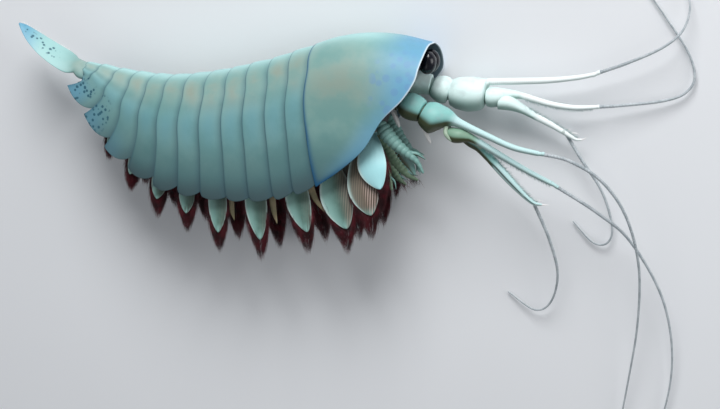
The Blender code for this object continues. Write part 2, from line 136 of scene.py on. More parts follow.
# Arms: x, y, z, radius of each ring of each joint
ARMS = {
    "left": {
        "peduncle_1": (
            (12.2, 45.4, 12.0, 3.0), (15.0, 45.1, 11.6, 3.7), (20.0, 44.8, 11.2, 4.2),
            (24.6, 44.0, 11.0, 3.7),
        ),
        "peduncle_2": (
            (25.4, 43.7, 10.8, 3.5), (27.4, 42.9, 10.6, 4.7), (29.8, 42.1, 10.4, 5.0),
            (31.2, 41.7, 10.2, 4.1),
        ),
        "finger_1": (
            (32.6, 41.2, 10.0, 4.5), (34.6, 41.1, 10.0, 5.8), (39.4, 40.9, 10.0, 6.3),
            (44.2, 41.5, 10.0, 5.2), (45.3, 45.2, 9.9, 1.7), (47.6, 45.7, 9.8, 1.3),
            (56.0, 46.1, 9.3, 1.25), (68.0, 46.8, 8.8, 1.1), (78.0, 48.1, 8.3, 0.9),
            (83.7, 49.4, 8.0, 0.75),
        ),
        "finger_2": (
            (45.9, 40.1, 10.0, 3.2), (46.8, 40.1, 10.0, 3.7), (49.4, 40.3, 9.9, 3.3),
            (52.4, 41.2, 9.6, 2.0), (57.0, 41.0, 9.2, 1.3), (67.7, 38.2, 8.3, 1.05),
            (76.0, 37.1, 7.6, 0.95), (83.4, 37.4, 7.0, 0.75),
        ),
        "finger_3": (
            (50.4, 38.4, 10.6, 2.4), (52.0, 38.5, 10.5, 2.8), (54.6, 37.9, 10.2, 2.5),
            (58.0, 36.2, 9.5, 1.8), (62.0, 33.9, 8.8, 1.4), (67.8, 30.9, 8.0, 1.15),
            (72.8, 28.0, 7.4, 0.95), (77.0, 25.6, 7.0, 0.6), (79.4, 25.6, 7.0, 0.3),
        ),
    },
    "right": {
        "peduncle_1": (
            (12.6, 41.5, 23.8, 3.2), (14.0, 40.9, 24.0, 4.1), (15.6, 40.2, 24.3, 4.1),
            (17.1, 39.5, 24.6, 3.4),
        ),
        "peduncle_2": (
            (17.7, 39.0, 24.8, 3.7), (19.8, 38.2, 25.0, 4.8), (22.6, 37.2, 25.2, 4.7),
            (24.8, 36.3, 25.4, 3.8),
        ),
        "finger_1": (
            (25.5, 35.9, 25.5, 4.1), (27.4, 35.0, 25.6, 5.3), (30.0, 33.7, 25.7, 5.6),
            (32.8, 33.8, 25.7, 4.3), (35.4, 33.8, 25.8, 2.7), (38.6, 32.6, 25.8, 1.6),
            (48.2, 28.7, 26.3, 1.2), (58.0, 24.9, 26.7, 1.1), (67.3, 23.1, 27.0, 0.9),
        ),
        "finger_2": (
            (34.8, 28.9, 25.2, 1.8), (36.4, 28.3, 25.4, 2.7), (38.9, 28.0, 25.6, 2.6),
            (41.2, 27.7, 25.4, 1.9), (44.0, 26.7, 25.0, 1.35), (54.0, 20.8, 23.6, 1.15),
            (63.0, 15.8, 22.7, 1.0), (71.8, 11.5, 22.0, 0.85),
        ),
        "finger_3": (
            (40.0, 26.4, 21.4, 1.5), (42.0, 25.5, 21.4, 2.1), (44.6, 23.9, 21.4, 1.9),
            (47.4, 21.2, 21.4, 1.75), (50.0, 18.4, 21.3, 1.65), (55.6, 12.4, 21.0, 1.5),
            (61.0, 6.9, 20.4, 1.05), (64.6, 4.1, 20.0, 0.8), (67.6, 3.6, 20.0, 0.35),
        ),
    },
}
JOINT_RINGS = 5
FINGER_SETBACKS = {"left": (1.0, 1.2, 1.3), "right": (0.4, 1.2, 0.9)}
SHAFT_RING_PITCH = 0.7

# Whips: the points each one runs through
WHIPS = {
    "left": (
        (
            (84.3, 49.7, 8.0), (95.7, 54.1, 9.0), (107.0, 59.5, 8.8), (113.6, 65.2, 7.5),
            (115.9, 72.6, 5.2), (114.4, 79.6, 3.0), (110.6, 86.6, 1.2),
        ),
        (
            (84.1, 37.5, 7.0), (94.0, 38.3, 5.2), (107.0, 40.0, 3.3), (114.6, 42.8, 2.4),
            (118.0, 48.4, 2.0), (115.5, 57.3, 1.7), (107.3, 69.4, 1.3), (99.4, 80.0, 1.0),
        ),
        (
            (73.4, 26.9, 5.3), (79.1, 17.9, 5.5), (86.6, 6.3, 4.4), (90.3, -6.6, 3.0),
            (88.4, -12.8, 2.2), (83.0, -12.8, 1.5), (75.7, -5.5, 1.0),
        ),
    ),
    "right": (
        (
            (68.0, 23.1, 27.0), (78.0, 20.8, 26.0), (89.3, 13.6, 24.0), (97.6, 0.9, 21.0),
            (101.8, -18.0, 15.6), (101.2, -40.0, 9.8), (98.0, -62.0, 5.6), (94.2, -82.0, 2.6),
            (89.0, -95.8, 1.2),
        ),
        (
            (72.4, 11.1, 21.9), (87.0, 1.3, 18.0), (98.4, -9.2, 14.1), (109.4, -29.9, 8.5),
            (113.4, -52.0, 4.8), (111.0, -73.4, 2.6), (103.6, -91.5, 1.0),
        ),
        (
            (64.0, 4.0, 17.9), (69.4, -9.8, 14.8), (71.9, -23.4, 10.0), (68.8, -35.2, 5.0),
            (62.4, -39.1, 2.8), (52.1, -33.3, 1.0),
        ),
    ),
}
WHIP_ROOT = 0.7
WHIP_TIP = 0.28
BEAD_PITCH = 1.15
BEAD_POINTS = 5

# Head legs of the right side: x, y, distance from the midplane, radius
LEGS = (
    (
        (9.6, 32.0, 9.6, 1.9), (12.0, 29.0, 10.4, 2.7), (16.0, 24.9, 11.0, 2.3),
        (20.6, 21.3, 11.2, 1.7), (24.0, 18.6, 11.2, 1.0), (26.3, 14.6, 11.2, 0.4),
    ),
    (
        (7.4, 25.2, 3.4, 1.6), (10.4, 21.8, 3.4, 2.1), (14.4, 16.6, 3.4, 1.7),
        (18.8, 12.5, 3.4, 1.2), (22.6, 10.6, 3.4, 0.4),
    ),
    (
        (6.4, 20.6, 6.6, 1.4), (9.8, 16.4, 6.8, 1.7), (12.5, 11.9, 7.0, 1.2), (13.8, 7.2, 7.2, 0.4),
    ),
)
LEG_SWING = {"right": 0.0, "left": math.radians(-14)}
HEAD_LIMB_SHIFT = {"right": 0.0, "left": -2.1}
HEAD_FLAPS = 3
LEG_BUMPS = 13

# Swimming flaps of the right side: root x and y and distance from the midplane,
# widest point x and y and distance, tip x and y and distance, half width
FLAPS = (
    (6.6, 27.6, 8.0, 7.8, 17.6, 13.4, 11.4, 8.8, 14.6, 5.3),
    (1.6, 22.0, 7.0, 4.2, 9.0, 11.8, 7.6, -1.2, 13.0, 5.8),
    (-9.0, 17.0, 7.0, -6.2, 4.6, 10.4, -1.6, -6.8, 12.0, 6.0),
    (-22.6, 13.9, 7.0, -20.6, 2.4, 10.6, -16.6, -8.8, 11.6, 4.6),
    (-38.0, 13.2, 7.0, -36.6, 0.6, 10.6, -34.6, -12.6, 11.6, 4.2),
    (-52.8, 14.2, 7.0, -51.4, 0.4, 10.6, -50.8, -10.8, 11.4, 3.6),
    (-64.4, 16.0, 6.6, -63.4, 3.4, 10.0, -63.4, -4.4, 10.8, 3.2),
    (-74.8, 20.4, 5.6, -74.6, 6.6, 9.0, -75.2, 0.2, 9.6, 3.0),
    (-84.2, 28.0, 4.0, -85.0, 13.6, 7.2, -86.4, 8.6, 7.6, 2.4),
    (-92.0, 34.6, 2.6, -93.8, 23.4, 5.2, -95.8, 19.4, 5.6, 1.9),
)
# Inner branches that show beside the fourth to sixth flaps: x, y, distance from the midplane
FLAP_BRANCHES = (
    ((-17.6, 11.0, 8.0), (-14.6, 3.6, 9.0), (-9.8, -2.4, 9.4)),
    ((-31.8, 9.0, 8.0), (-30.3, -1.0, 9.0), (-28.8, -6.8, 9.4)),
    ((-47.4, 9.0, 8.0), (-46.4, -1.4, 9.0), (-45.2, -6.4, 9.4)),
)
FLAP_HALF_THICKNESS = 0.4
FLAP_ROOT_HALF_WIDTH = 1.2
FLAP_TIP_HALF_WIDTH = 0.25
FRINGE_DROP = 9.5
FRINGE_HAIRS = 840
FRINGE_SPREAD = 5.6
FRINGE_RADIUS = 0.1

# Camera: how far it is turned from straight above, its distance and its lens
CAMERA_TURN = math.radians(15)
CAMERA_TILT = math.radians(11)
CAMERA_DISTANCE = 0.73
CAMERA_LENS = 100
CAMERA_SENSOR = 36

# Fine settings of the shapes
STEPS_PER_POINT = 60
FEWEST_RINGS = 8
HAIR_TAPER = 0.93
SHOULDER_GROOVE = 0.14
STALK_RADII = (2.1, 2.5)
SKIN_INSET = 1.2
COLLAR_RADIUS = 0.95
NECK_DEPTH = 0.26
FINGER_OLIVE = 0.75
LEG_OLIVE = 0.8
LEG_TEETH = 11
FRINGE_INSIDE_SHARE = 0.35
FRINGE_BEHIND = 0.9
FRINGE_ABOVE_FLOOR = 0.4

# Thorns: the points each one runs through, and its radius at the root and at the tip
CUFFS = (
    (((33.8, 31.4, 26.6), (34.0, 28.8, 27.6), (36.0, 26.3, 27.0)), 0.85, 0.7),
    (((42.2, 26.2, 23.6), (44.2, 25.4, 23.9), (46.0, 23.4, 23.4)), 0.8, 0.55),
)
ARM_SPINES = (
    (((12.6, 39.8, 24.4), (15.0, 33.8, 25.0), (16.5, 30.2, 25.2)), 1.1, 0.7),
    (((24.2, 34.0, 24.8), (26.0, 28.6, 24.4), (27.8, 24.8, 24.4)), 1.05, 0.7),
)
# Claws of the third fingers, whose points are measured from the finger's end
FINGER_CLAWS = {
    "left": (
        (((-2.4, 0.0, 0.0), (0.0, 0.0, 0.0), (1.5, 0.9, 0.0)), 0.5, 0.1),
        (((-4.2, 2.0, 0.0), (-2.6, 2.2, 0.0), (-1.2, 1.8, -0.2)), 0.32, 0.07),
        (((-6.2, 3.0, 0.0), (-4.9, 3.5, 0.0), (-3.9, 3.7, -0.2)), 0.28, 0.06),
    ),
    "right": (
        (((-2.6, 0.2, 0.0), (0.0, 0.0, 0.0), (2.4, 0.1, 0.0)), 0.5, 0.1),
        (((-3.4, 1.2, 0.0), (-1.6, 1.6, 0.0), (0.4, 1.3, 0.0)), 0.35, 0.07),
    ),
}
# Claws of the head legs: the leg's number, then points in the way of the legs' rings
LEG_CLAWS = (
    (1, ((20.6, 21.6, 11.0), (23.6, 21.6, 11.0), (25.4, 20.7, 11.0), (27.2, 19.6, 11.0)), 1.0, 0.14),
    (1, ((24.2, 21.4, 11.2), (25.4, 21.5, 11.2), (26.6, 21.2, 11.2)), 0.3, 0.08),
    (1, ((24.6, 18.2, 11.2), (25.0, 16.2, 11.2), (25.1, 14.0, 11.2)), 0.6, 0.12),
    (2, ((17.6, 13.8, 3.6), (20.0, 12.9, 3.6), (22.6, 12.4, 3.6)), 0.8, 0.12),
    (3, ((12.2, 12.6, 7.2), (14.6, 10.6, 7.2), (15.4, 7.6, 7.2)), 0.7, 0.12),
)
LEG_LEAF = ((16.6, 22.4, 9.4), (19.0, 19.5, 9.2), (21.2, 16.7, 9.0), (22.7, 13.5, 9.0))
LEG_FRINGE_PLACE = ((20.5, 11.0, 3.4),)
LEG_FRINGE_HAIRS = 46

# Grain of the cuticle: noise scales for each metre, the depth of its bumps in metres and the
# number of comb teeth for each metre
PORE_SCALE = 2600.0
DIMPLE_SCALE = 420.0
BUMP_DISTANCE = 0.0004
TEETH_PER_METRE = 1150.0

# Materials of two clouded colours: name, roughness and the colours
CLOUDED_SKINS = {
    "branch": ("flap_branch", 0.5, (0.17, 0.15, 0.08), (0.25, 0.21, 0.12)),
    "fringe": ("fringe_hair", 0.5, (0.035, 0.003, 0.006), (0.13, 0.008, 0.018)),
    # Dark joint skins; the left one is painted paler as on the lit arm, the right one darker as in shade
    "left_skin": ("lit_left_joint_skin", 0.5, (0.30, 0.42, 0.40), (0.22, 0.33, 0.31)),
    "right_skin": ("shaded_right_joint_skin", 0.5, (0.05, 0.09, 0.07), (0.08, 0.12, 0.08)),
    "bristle": ("bristle_hair", 0.45, (0.50, 0.62, 0.62), (0.36, 0.46, 0.47)),
    "cuff": ("joint_cuff", 0.42, (0.42, 0.54, 0.42), (0.32, 0.44, 0.33)),
    "spine": ("spine_cuticle", 0.4, (0.92, 0.91, 0.91), (0.80, 0.78, 0.78)),
    # The eye stalks are near black: painted shade round the eye
    "socket": ("eye_socket", 0.4, (0.012, 0.014, 0.025), (0.03, 0.03, 0.05)),
}
EYE_BLACK = ((0.002, 0.002, 0.006), (0.005, 0.006, 0.012))
FLOOR_GREY = ((0.80, 0.82, 0.85), (0.81, 0.83, 0.86))

# Floor, lights (place in metres, size and power) and the colour and strength of the surround
FLOOR_HALF_SIZE = 1.6
LIGHTS = (
    ("back_light", (0.05, 0.72, 0.52), 0.5, 6.7),
    ("top_light", (-0.35, -0.25, 0.95), 0.9, 1.25),
    ("front_light", (0.62, 0.15, 0.35), 0.4, 1.2),
)
SURROUND_COLOUR = (0.86, 0.90, 0.95)
SURROUND_STRENGTH = 0.19

# Start of the random draws
RANDOM_START = 505

# Shapes


def bell(value, middle, width):
    """A smooth hill of height 1 at the middle that falls to 0.37 one width away."""
    return np.exp(-(((value - middle) / width) ** 2))


def ramp(value, start, end):
    """0 before the start, 1 after the end and an S-shaped rise between them."""
    t = np.clip((value - start) / (end - start), 0, 1)
    return t * t * (3 - 2 * t)


def unit(vectors):
    """Vectors of length 1 in the same directions."""
    return vectors / np.linalg.norm(vectors, axis=-1, keepdims=True)


def sampled(rows, along, where):
    """The rows' columns read off at the given places along them."""
    return np.stack([np.interp(where, along, column) for column in rows.T], axis=1)


def ring_angles(sides):
    """The angle of each point of a ring."""
    return np.arange(sides) / sides * 2 * np.pi


def spline(points, count):
    """Points evenly spread by step number along a Catmull-Rom curve through the given ones."""
    given = np.array(points, float)
    padded = np.vstack((2 * given[0] - given[1], given, 2 * given[-1] - given[-2]))
    steps = np.linspace(0, len(given) - 1, count)
    first = np.minimum(steps.astype(int), len(given) - 2)
    t = (steps - first)[:, None]
    a, b, c, d = (padded[first + k] for k in range(4))
    bend = (2 * a - 5 * b + 4 * c - d) * t**2 + (3 * b - a - 3 * c + d) * t**3
    return 0.5 * (2 * b + (c - a) * t + bend)


def even_path(points, pitch):
    """Rows spread at an even distance along the smooth curve through the given ones, and the
    distance of each from the start. Columns after the third are carried along."""
    fine = spline(points, STEPS_PER_POINT * len(points))
    steps = np.linalg.norm(np.diff(fine[:, :3], axis=0), axis=1)
    gone = np.concatenate(((0.0,), np.cumsum(steps)))
    at = np.linspace(0, gone[-1], max(int(gone[-1] / pitch) + 1, FEWEST_RINGS))
    return sampled(fine, gone, at), at


def grid(points, u, v, loop=False, **marks):
    """The part whose points lie on a grid of rows and columns, with u per row and v per column.
    A loop's last column joins its first, and then v has one value more than there are columns."""
    rows, columns = points.shape[:2]
    row = np.arange(rows - 1)[:, None]
    column = np.arange(columns if loop else columns - 1)[None, :]
    row, column = np.broadcast_arrays(row, column)
    corners = ((row, column), (row, column + 1), (row + 1, column + 1), (row + 1, column))
    faces = np.stack([r * columns + c % columns for r, c in corners], axis=-1).reshape(-1, 4)
    uv = np.stack([np.stack((u[r], v[c]), axis=-1) for r, c in corners], axis=-2).reshape(-1, 4, 2)
    flat = {name: np.broadcast_to(mark, (rows, columns)).ravel() for name, mark in marks.items()}
    return points.reshape(-1, 3), [faces], [uv], flat


def outward(part):
    """The part with its faces turned over if their signed volume is below zero."""
    points, faces, uvs, marks = part
    volume = 0.0
    for group in faces:
        for k in range(1, group.shape[1] - 1):
            a, b, c = points[group[:, 0]], points[group[:, k]], points[group[:, k + 1]]
            volume += np.einsum("ij,ij->", a, np.cross(b, c))
    if volume < 0:
        faces = [group[:, ::-1] for group in faces]
        uvs = [uv[:, ::-1] for uv in uvs]
    return points, faces, uvs, marks


def ringed(points, ends, u, **marks):
    """A part of rings, whose first and last ones are closed by fans round the two ends."""
    rows, sides = points.shape[:2]
    flat, faces, uvs, marks = grid(points, u, np.linspace(0, 1, sides + 1), True, **marks)
    first = np.arange(sides)
    after = (first + 1) % sides
    last = first + (rows - 1) * sides
    poles = np.full(sides, len(flat))
    fans = np.concatenate((
        np.stack((poles, after, first), axis=1),
        np.stack((poles + 1, last, last[after]), axis=1),
    ))
    fan_uv = np.stack((np.repeat((u[0], u[-1]), sides), np.full(2 * sides, 0.5)), axis=1)
    fan_uv = np.repeat(fan_uv[:, None], 3, axis=1)
    marks = {name: np.append(mark, (mark[0], mark[-1])) for name, mark in marks.items()}
    return outward((np.vstack((flat, ends)), [*faces, fans], [*uvs, fan_uv], marks))


def tube(path, radii, sides=12, wide=(0, 0, 1), run=None, u=None, **marks):
    """Rings carried along a path: ring k is path[k] + wide radius · cos a · side + thin radius ·
    sin a · up, where side lies across the path as near to the wide direction as it can. radii
    has a value per ring, or a wide and a thin one, or one per ring and side. The mark under
    grows where the surface faces the belly side, for the painted shade of undersides."""
    path = np.asarray(path, float)
    run = unit(np.gradient(path, axis=0) if run is None else run)
    wide = np.asarray(wide, float)
    side = unit(wide - run * (run @ wide)[:, None])
    up = np.cross(run, side)
    angle = ring_angles(sides)
    radii = np.asarray(radii, float)
    if radii.ndim == 1:
        radii = radii[:, None]
    wide_radii, thin_radii = (radii[:, :1], radii[:, 1:]) if radii.shape[1] == 2 else (radii, radii)
    points = (
        path[:, None]
        + (wide_radii * np.cos(angle))[..., None] * side[:, None]
        + (thin_radii * np.sin(angle))[..., None] * up[:, None]
    )
    facing = np.cos(angle) * side[:, None, 1] + np.sin(angle) * up[:, None, 1]
    marks["under"] = ramp(-facing, -0.3, 0.8)
    return ringed(points, path[[0, -1]], np.linspace(0, 1, len(path)) if u is None else u, **marks)


def hairs(roots, tips, bend, radius, rings=4):
    """Many three-sided hairs in one part: each is a curve from its root to its tip that bows by
    bend times sin of half a turn, and narrows evenly from the radius to a point."""
    count, sides = len(roots), 3
    share = np.linspace(0, 1, rings)
    straight = roots[:, None] + (tips - roots)[:, None] * share[:, None]
    line = straight + bend[:, None] * np.sin(share * np.pi)[:, None]
    run = unit(tips - roots)
    helper = np.where(np.abs(run[:, 2:]) > 0.8, (1.0, 0.0, 0.0), (0.0, 0.0, 1.0))
    side = unit(np.cross(run, helper))
    up = np.cross(run, side)
    angle = ring_angles(sides)
    ring = np.cos(angle)[:, None] * side[:, None] + np.sin(angle)[:, None] * up[:, None]
    radii = radius * (1 - HAIR_TAPER * share)
    points = line[:, :, None] + radii[:, None, None] * ring[:, None]
    base = (np.arange(count) * rings * sides)[:, None, None]
    low = base + (np.arange(rings - 1) * sides)[None, :, None]
    high = low + sides
    first = np.arange(sides)
    after = (first + 1) % sides
    quads = np.stack((low + first, low + after, high + after, high + first), axis=-1).reshape(-1, 4)
    ends = np.array(((2, 1, 0), (0, 1, 2))) + np.array(((0,), ((rings - 1) * sides,)))
    ends = (base + ends[None]).reshape(-1, 3)
    steps = np.broadcast_to(share[:-1, None], (count, rings - 1, sides)).reshape(-1, 1)
    quad_uv = np.stack((np.repeat(steps, 4, axis=1), np.zeros((len(quads), 4))), axis=-1)
    end_uv = np.zeros((len(ends), 3, 2))
    end_uv[1::2, :, 0] = 1
    return outward((points.reshape(-1, 3), [quads, ends], [quad_uv, end_uv], {}))


def piece(name, parts, material, replaced=()):
    """One object from its parts, riding on the one body, with its marks as attributes."""
    counts = [len(part[0]) for part in parts]
    starts = np.cumsum((0, *counts[:-1]))
    points = (np.concatenate([part[0] for part in parts]) - BOX_MIDDLE) * MM
    loops = [(group + start).ravel() for part, start in zip(parts, starts) for group in part[1]]
    loops = np.concatenate(loops)
    totals = np.concatenate([np.full(len(group), group.shape[1]) for part in parts for group in part[1]])
    corners = np.concatenate([uv.reshape(-1, 2) for part in parts for uv in part[2]])
    mesh = bpy.data.meshes.new(name)
    mesh.vertices.add(len(points))
    mesh.vertices.foreach_set("co", points.ravel())
    mesh.loops.add(len(loops))
    mesh.loops.foreach_set("vertex_index", loops)
    mesh.polygons.add(len(totals))
    mesh.polygons.foreach_set("loop_start", np.cumsum(totals) - totals)
    mesh.update(calc_edges=True)
    mesh.uv_layers.new(name="surface").data.foreach_set("uv", corners.ravel())
    for mark in sorted({mark for part in parts for mark in part[3]}):
        values = np.concatenate([part[3].get(mark, np.zeros(count)) for part, count in zip(parts, counts)])
        mesh.attributes.new(mark, "FLOAT", "POINT").data.foreach_set("value", values.astype(np.float32))
    mesh.shade_smooth()
    mesh.materials.append(material)
    obj = bpy.data.objects.new(name, mesh)
    bpy.context.collection.objects.link(obj)
    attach(obj, "root")
    if replaced:
        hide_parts(*replaced)


# Plates


def arch(share, top, low, half_width, depth):
    """The y and z of a plate's cross-section: a squared half ellipse from the back line to
    the widest line, then a flank that tucks in to the lower edge. share runs from -1 at the
    left lower edge through 0 at the back line to 1 at the right one, and depth is how far the
    surface lies inside the outermost one. The left flank is flat on the floor."""
    widest = low + WIDEST_SHARE * (top - low)
    reach = np.abs(share)
    turn = np.clip(reach / SIDE_SHARE, 0, 1) * np.pi / 2
    drop = np.clip((reach - SIDE_SHARE) / (1 - SIDE_SHARE), 0, 1)
    half = half_width - depth
    rise = np.maximum(np.cos(turn), 0) ** SQUARENESS
    across = np.where(drop > 0, half * (1 - TUCK * drop**2), half * np.sin(turn) ** SQUARENESS)
    y = np.where(drop > 0, widest - (widest - low) * drop, widest + (top - depth - widest) * rise)
    return y, np.maximum(MIDPLANE + np.sign(share) * across, depth)


def edge_x(x_back, lean, sweep, share):
    """The x of a plate's rear edge: it leans with the flank, sweeps at the lower corner, and
    jogs back where the flank's shoulder is."""
    reach = np.abs(share)
    jog = SHOULDER_JOG * (bell(reach, 0.36, 0.08) - bell(reach, 0.56, 0.09))
    return x_back + lean * np.sin(reach * np.pi / 2) + sweep * reach**4 + jog


def narrowing(distance, half_thickness):
    """How far each side of a wall is drawn in near an edge, so that the edge is a half round."""
    left = np.clip(half_thickness - distance, 0, 0.96 * half_thickness)
    return half_thickness - np.sqrt(half_thickness**2 - left**2)


def share_steps(count, edge):
    """Shares from -1 to 1, evenly spread, with a few more close to both lower edges."""
    near = edge * np.array((0.0, 0.0012, 0.004, 0.008, 0.014))
    middle = np.linspace(-1, 1, count)[1:-1] * (edge - 0.022)
    return np.concatenate((near - edge, middle, (edge - near)[::-1]))


def wall(surface, u, share, thickness, gap_u, gap_share, **marks):
    """A closed wall with round edges: its outer side runs over u from the first to the last
    value, and its inner side back again. surface(u, share, depth) gives the points, and the
    gaps are the distances to the nearest edge."""
    half = thickness / 2
    drawn = np.maximum(narrowing(gap_u, half), narrowing(gap_share, half))
    outer = surface(u[:, None], share[None], drawn)
    inner = surface(u[:, None], share[None], thickness - drawn)[::-1]
    points = np.concatenate((outer, inner))
    count, columns = len(u), len(share)
    across = (share + 1) / 2
    one_side = {name: np.broadcast_to(mark, (count, columns)) for name, mark in marks.items()}
    both_sides = {name: np.concatenate((mark, mark[::-1])).T for name, mark in one_side.items()}
    # The inner side is marked for painted shade, which darkens a wall's inner face
    both_sides["inner"] = np.repeat((0.0, 1.0), count)
    there_and_back = np.concatenate((u, u[::-1], u[:1]))
    flat, faces, uvs, marks = grid(points.transpose(1, 0, 2), across, there_and_back, True, **both_sides)
    uvs = [uv[..., ::-1] for uv in uvs]
    # The lower edges: each outer point and the inner one under it
    step = np.arange(count - 1)
    inward = 2 * count - 1 - step
    strips, strip_uvs = [], []
    for column, order in ((0, 1), (columns - 1, -1)):
        strip = column * 2 * count + np.stack((step, step + 1, inward - 1, inward), axis=1)
        strip_u = u[np.stack((step, step + 1, step + 1, step), axis=1)]
        strips.append(strip[:, ::order])
        strip_uvs.append(np.stack((strip_u[:, ::order], np.full(strip.shape, across[column])), axis=-1))
    return outward((flat, [*faces, *strips], [*uvs, *strip_uvs], marks))


def back_plate(number, material):
    """A back plate: from its rear edge its surface sinks with the square of the way to its
    front, where it runs on under the surface of the plate before it."""
    front, rear = REAR_EDGES[number - 1], REAR_EDGES[number]
    before = REAR_EDGES[number - 2] if number > 1 else 2 * front - rear
    corner_cut = np.interp(number, (5, 9), CORNER_CUTS)
    bulge = np.interp(number, (6, 10), LOBES)
    corner_radius = np.interp(number, (7, 9), CORNER_RADII)

    def surface(along, share, depth):
        """Each ring lies between the edges before and behind it by its share along."""
        ahead = np.where(along[..., None] < 0, before, rear)
        row = front + (ahead - front) * np.abs(along)[..., None]
        share = share * (1 - corner_cut * (1 - along) ** 2)
        groove = SHOULDER_GROOVE * bell(np.abs(share), 0.47, 0.045)
        depth = depth + PLATE_STEP * (1 - along) ** 2 + groove
        lobe = bulge * np.clip(4 * along * (1 - along), 0, 1)
        y, z = arch(share, row[..., 1], row[..., 4] - lobe, row[..., 5], depth)
        x = edge_x(row[..., 0], row[..., 2], row[..., 3], share)
        turn = np.clip((np.abs(share) - CORNER_SHARE) / (1.001 - CORNER_SHARE), 0, 1)
        x = x + corner_radius * (1 - np.sqrt(1 - turn**2)) * ramp(along, 0.5, 1.0)
        return np.stack(np.broadcast_arrays(x, y, z), axis=-1)

    along = np.concatenate((
        (-PLATE_OVERLAP, -0.12, -0.05),
        np.linspace(0, 0.9, 15),
        (0.93, 0.955, 0.972, 0.984, 0.993, 1.0),
    ))
    share = share_steps(150, 1.0)
    reach = np.abs(share)[None]
    gap_u = ((1 - along) * PLATE_PITCH)[:, None]
    flank = (1 - SIDE_SHARE) ** -1 * WIDEST_SHARE * (rear[1] - rear[4])
    tail = np.interp(number, (8, 12), (0, 1))
    corner = ramp(reach, 0.62, 0.98) * ramp(along[:, None], 0.25, 0.85)
    wide = bell(along[:, None], 0.55, 0.5)
    # Marks by how far each point is round from the back line and along from the front
    part = wall(
        surface, along, share, PLATE_THICKNESS, gap_u, (1 - reach) * flank,
        line=0.85 * bell(gap_u, 0, 0.36) * (1 - 0.45 * ramp(reach, 0.5, 0.85)),
        # shade: a painted shadow on the front strip that the plate before it overlaps
        shade=ramp(-along, -0.34, 0.06)[:, None] * ramp(reach, 0.0, 0.3),
        beige=bell(reach, 0.31, 0.17) * wide,
        blue=0.75 * bell(reach, 0.56, 0.12) * wide,
        tint=tail * corner,
        dots=ramp(tail, 0.3, 0.5) * ramp(reach, 0.52, 0.8) * ramp(along[:, None], 0.2, 0.75),
        # lower and margin: painted shade that darkens the flank towards its lower edge
        lower=ramp(reach, 0.42, 1.0) * (1 - 0.45 * tail),
        margin=ramp(reach, 0.84, 1.0) * (1 - 0.7 * tail),
        back=np.maximum(bell(reach, 0, 0.13), 0.3 * tail),
    )
    piece(f"plate_{number:02d}", [part], material, (f"tergite_{number:02d}",))


def head_shield(material):
    """The shield: lines run from its rear edge to its front and lower edge over one arch."""
    x_rear, _, lean, sweep, low, half = REAR_EDGES[0]
    back = spline(SHIELD_BACK, 64)
    edge = spline(SHIELD_EDGE, 64)
    back_x = (back[0, 0], back[-1, 0])

    def top_at(x):
        """The height of the back line."""
        return np.interp(x, *back.T)

    def low_at(x):
        """The height that the arch's lower edge would have."""
        return np.interp(x, back_x, (low, SHIELD_EDGE_LOWEST))

    def share_at(x, y):
        """The arch's share whose height is y."""
        widest = low_at(x) + WIDEST_SHARE * (top_at(x) - low_at(x))
        rise = np.clip((y - widest) / (top_at(x) - widest), 0, 1)
        above = SIDE_SHARE * np.arccos(rise ** (1 / SQUARENESS)) / (np.pi / 2)
        below = SIDE_SHARE + (1 - SIDE_SHARE) * (widest - y) / (widest - low_at(x))
        return np.where(y >= widest, above, below)

    def surface(u, share, depth):
        """Each line runs evenly from the rear edge, at its own share, to a point of the edge."""
        reach = np.abs(share)
        front_x, front_y = sampled(edge, np.arange(len(edge)), reach[0] * (len(edge) - 1)).T[:, None]
        there = reach + (share_at(front_x, front_y) - reach) * u
        front_x = front_x + np.where(share < 0, LEFT_EDGE_BOW * bell(reach, 0.29, 0.165), 0)
        rear_x = edge_x(x_rear, lean, sweep, reach)
        x = rear_x + (front_x - rear_x) * u
        y, z = arch(np.sign(share) * there, top_at(x), low_at(x), half, depth)
        return np.stack((np.broadcast_to(x, y.shape), y, z), axis=-1)

    u = 0.5 - 0.5 * np.cos(np.linspace(0, np.pi, 64))
    share = share_steps(180, 0.994)
    reach = np.abs(share)[None]
    middle = surface(u[:, None], share[None], np.zeros((1, 1)))
    steps = np.linalg.norm(np.diff(middle, axis=0), axis=2)
    from_rear = np.vstack((np.zeros(len(share)), np.cumsum(steps, axis=0)))
    to_front = from_rear[-1] - from_rear
    x, y = middle[..., 0], middle[..., 1]
    rear_line = bell(from_rear, 0, 0.62 + 0.95 * ramp(reach, 0.4, 1.0))
    lower_line = bell(to_front, 0, 1.7) * ramp(-x, -7.0, 8.0)
    far_from_ends = np.full_like(reach, 9.0)
    part = wall(
        surface, u, share, SHIELD_THICKNESS, np.minimum(from_rear, to_front), far_from_ends,
        line=np.clip(rear_line + lower_line, 0, 1),
        beige=0.75 * bell(x, -4.0, 16.0) * bell(y, 47.0, 12.0),
        blue=np.maximum(ramp(x, 4.0, 24.0), 0.6 * ramp(10.0 - to_front, 0, 9) * ramp(x, -14, 4)),
        dots=bell(x, 17.0, 8.5) * bell(y, 46.0, 12.0),
        # lower and margin: painted shade that darkens the shield towards its lower edge
        lower=ramp(-y, -36.0, -8.0) * (1 - 0.55 * ramp(x, -6, 14)),
        margin=0.6 * ramp(-y, -16.0, -8.0),
        back=bell(reach, 0, 0.12) * ramp(20 - x, 0, 16),
        rim=bell(to_front, 0, 0.36) * ramp(y, 32, 42),
    )
    piece("shield", [part], material, ("head_shield",))


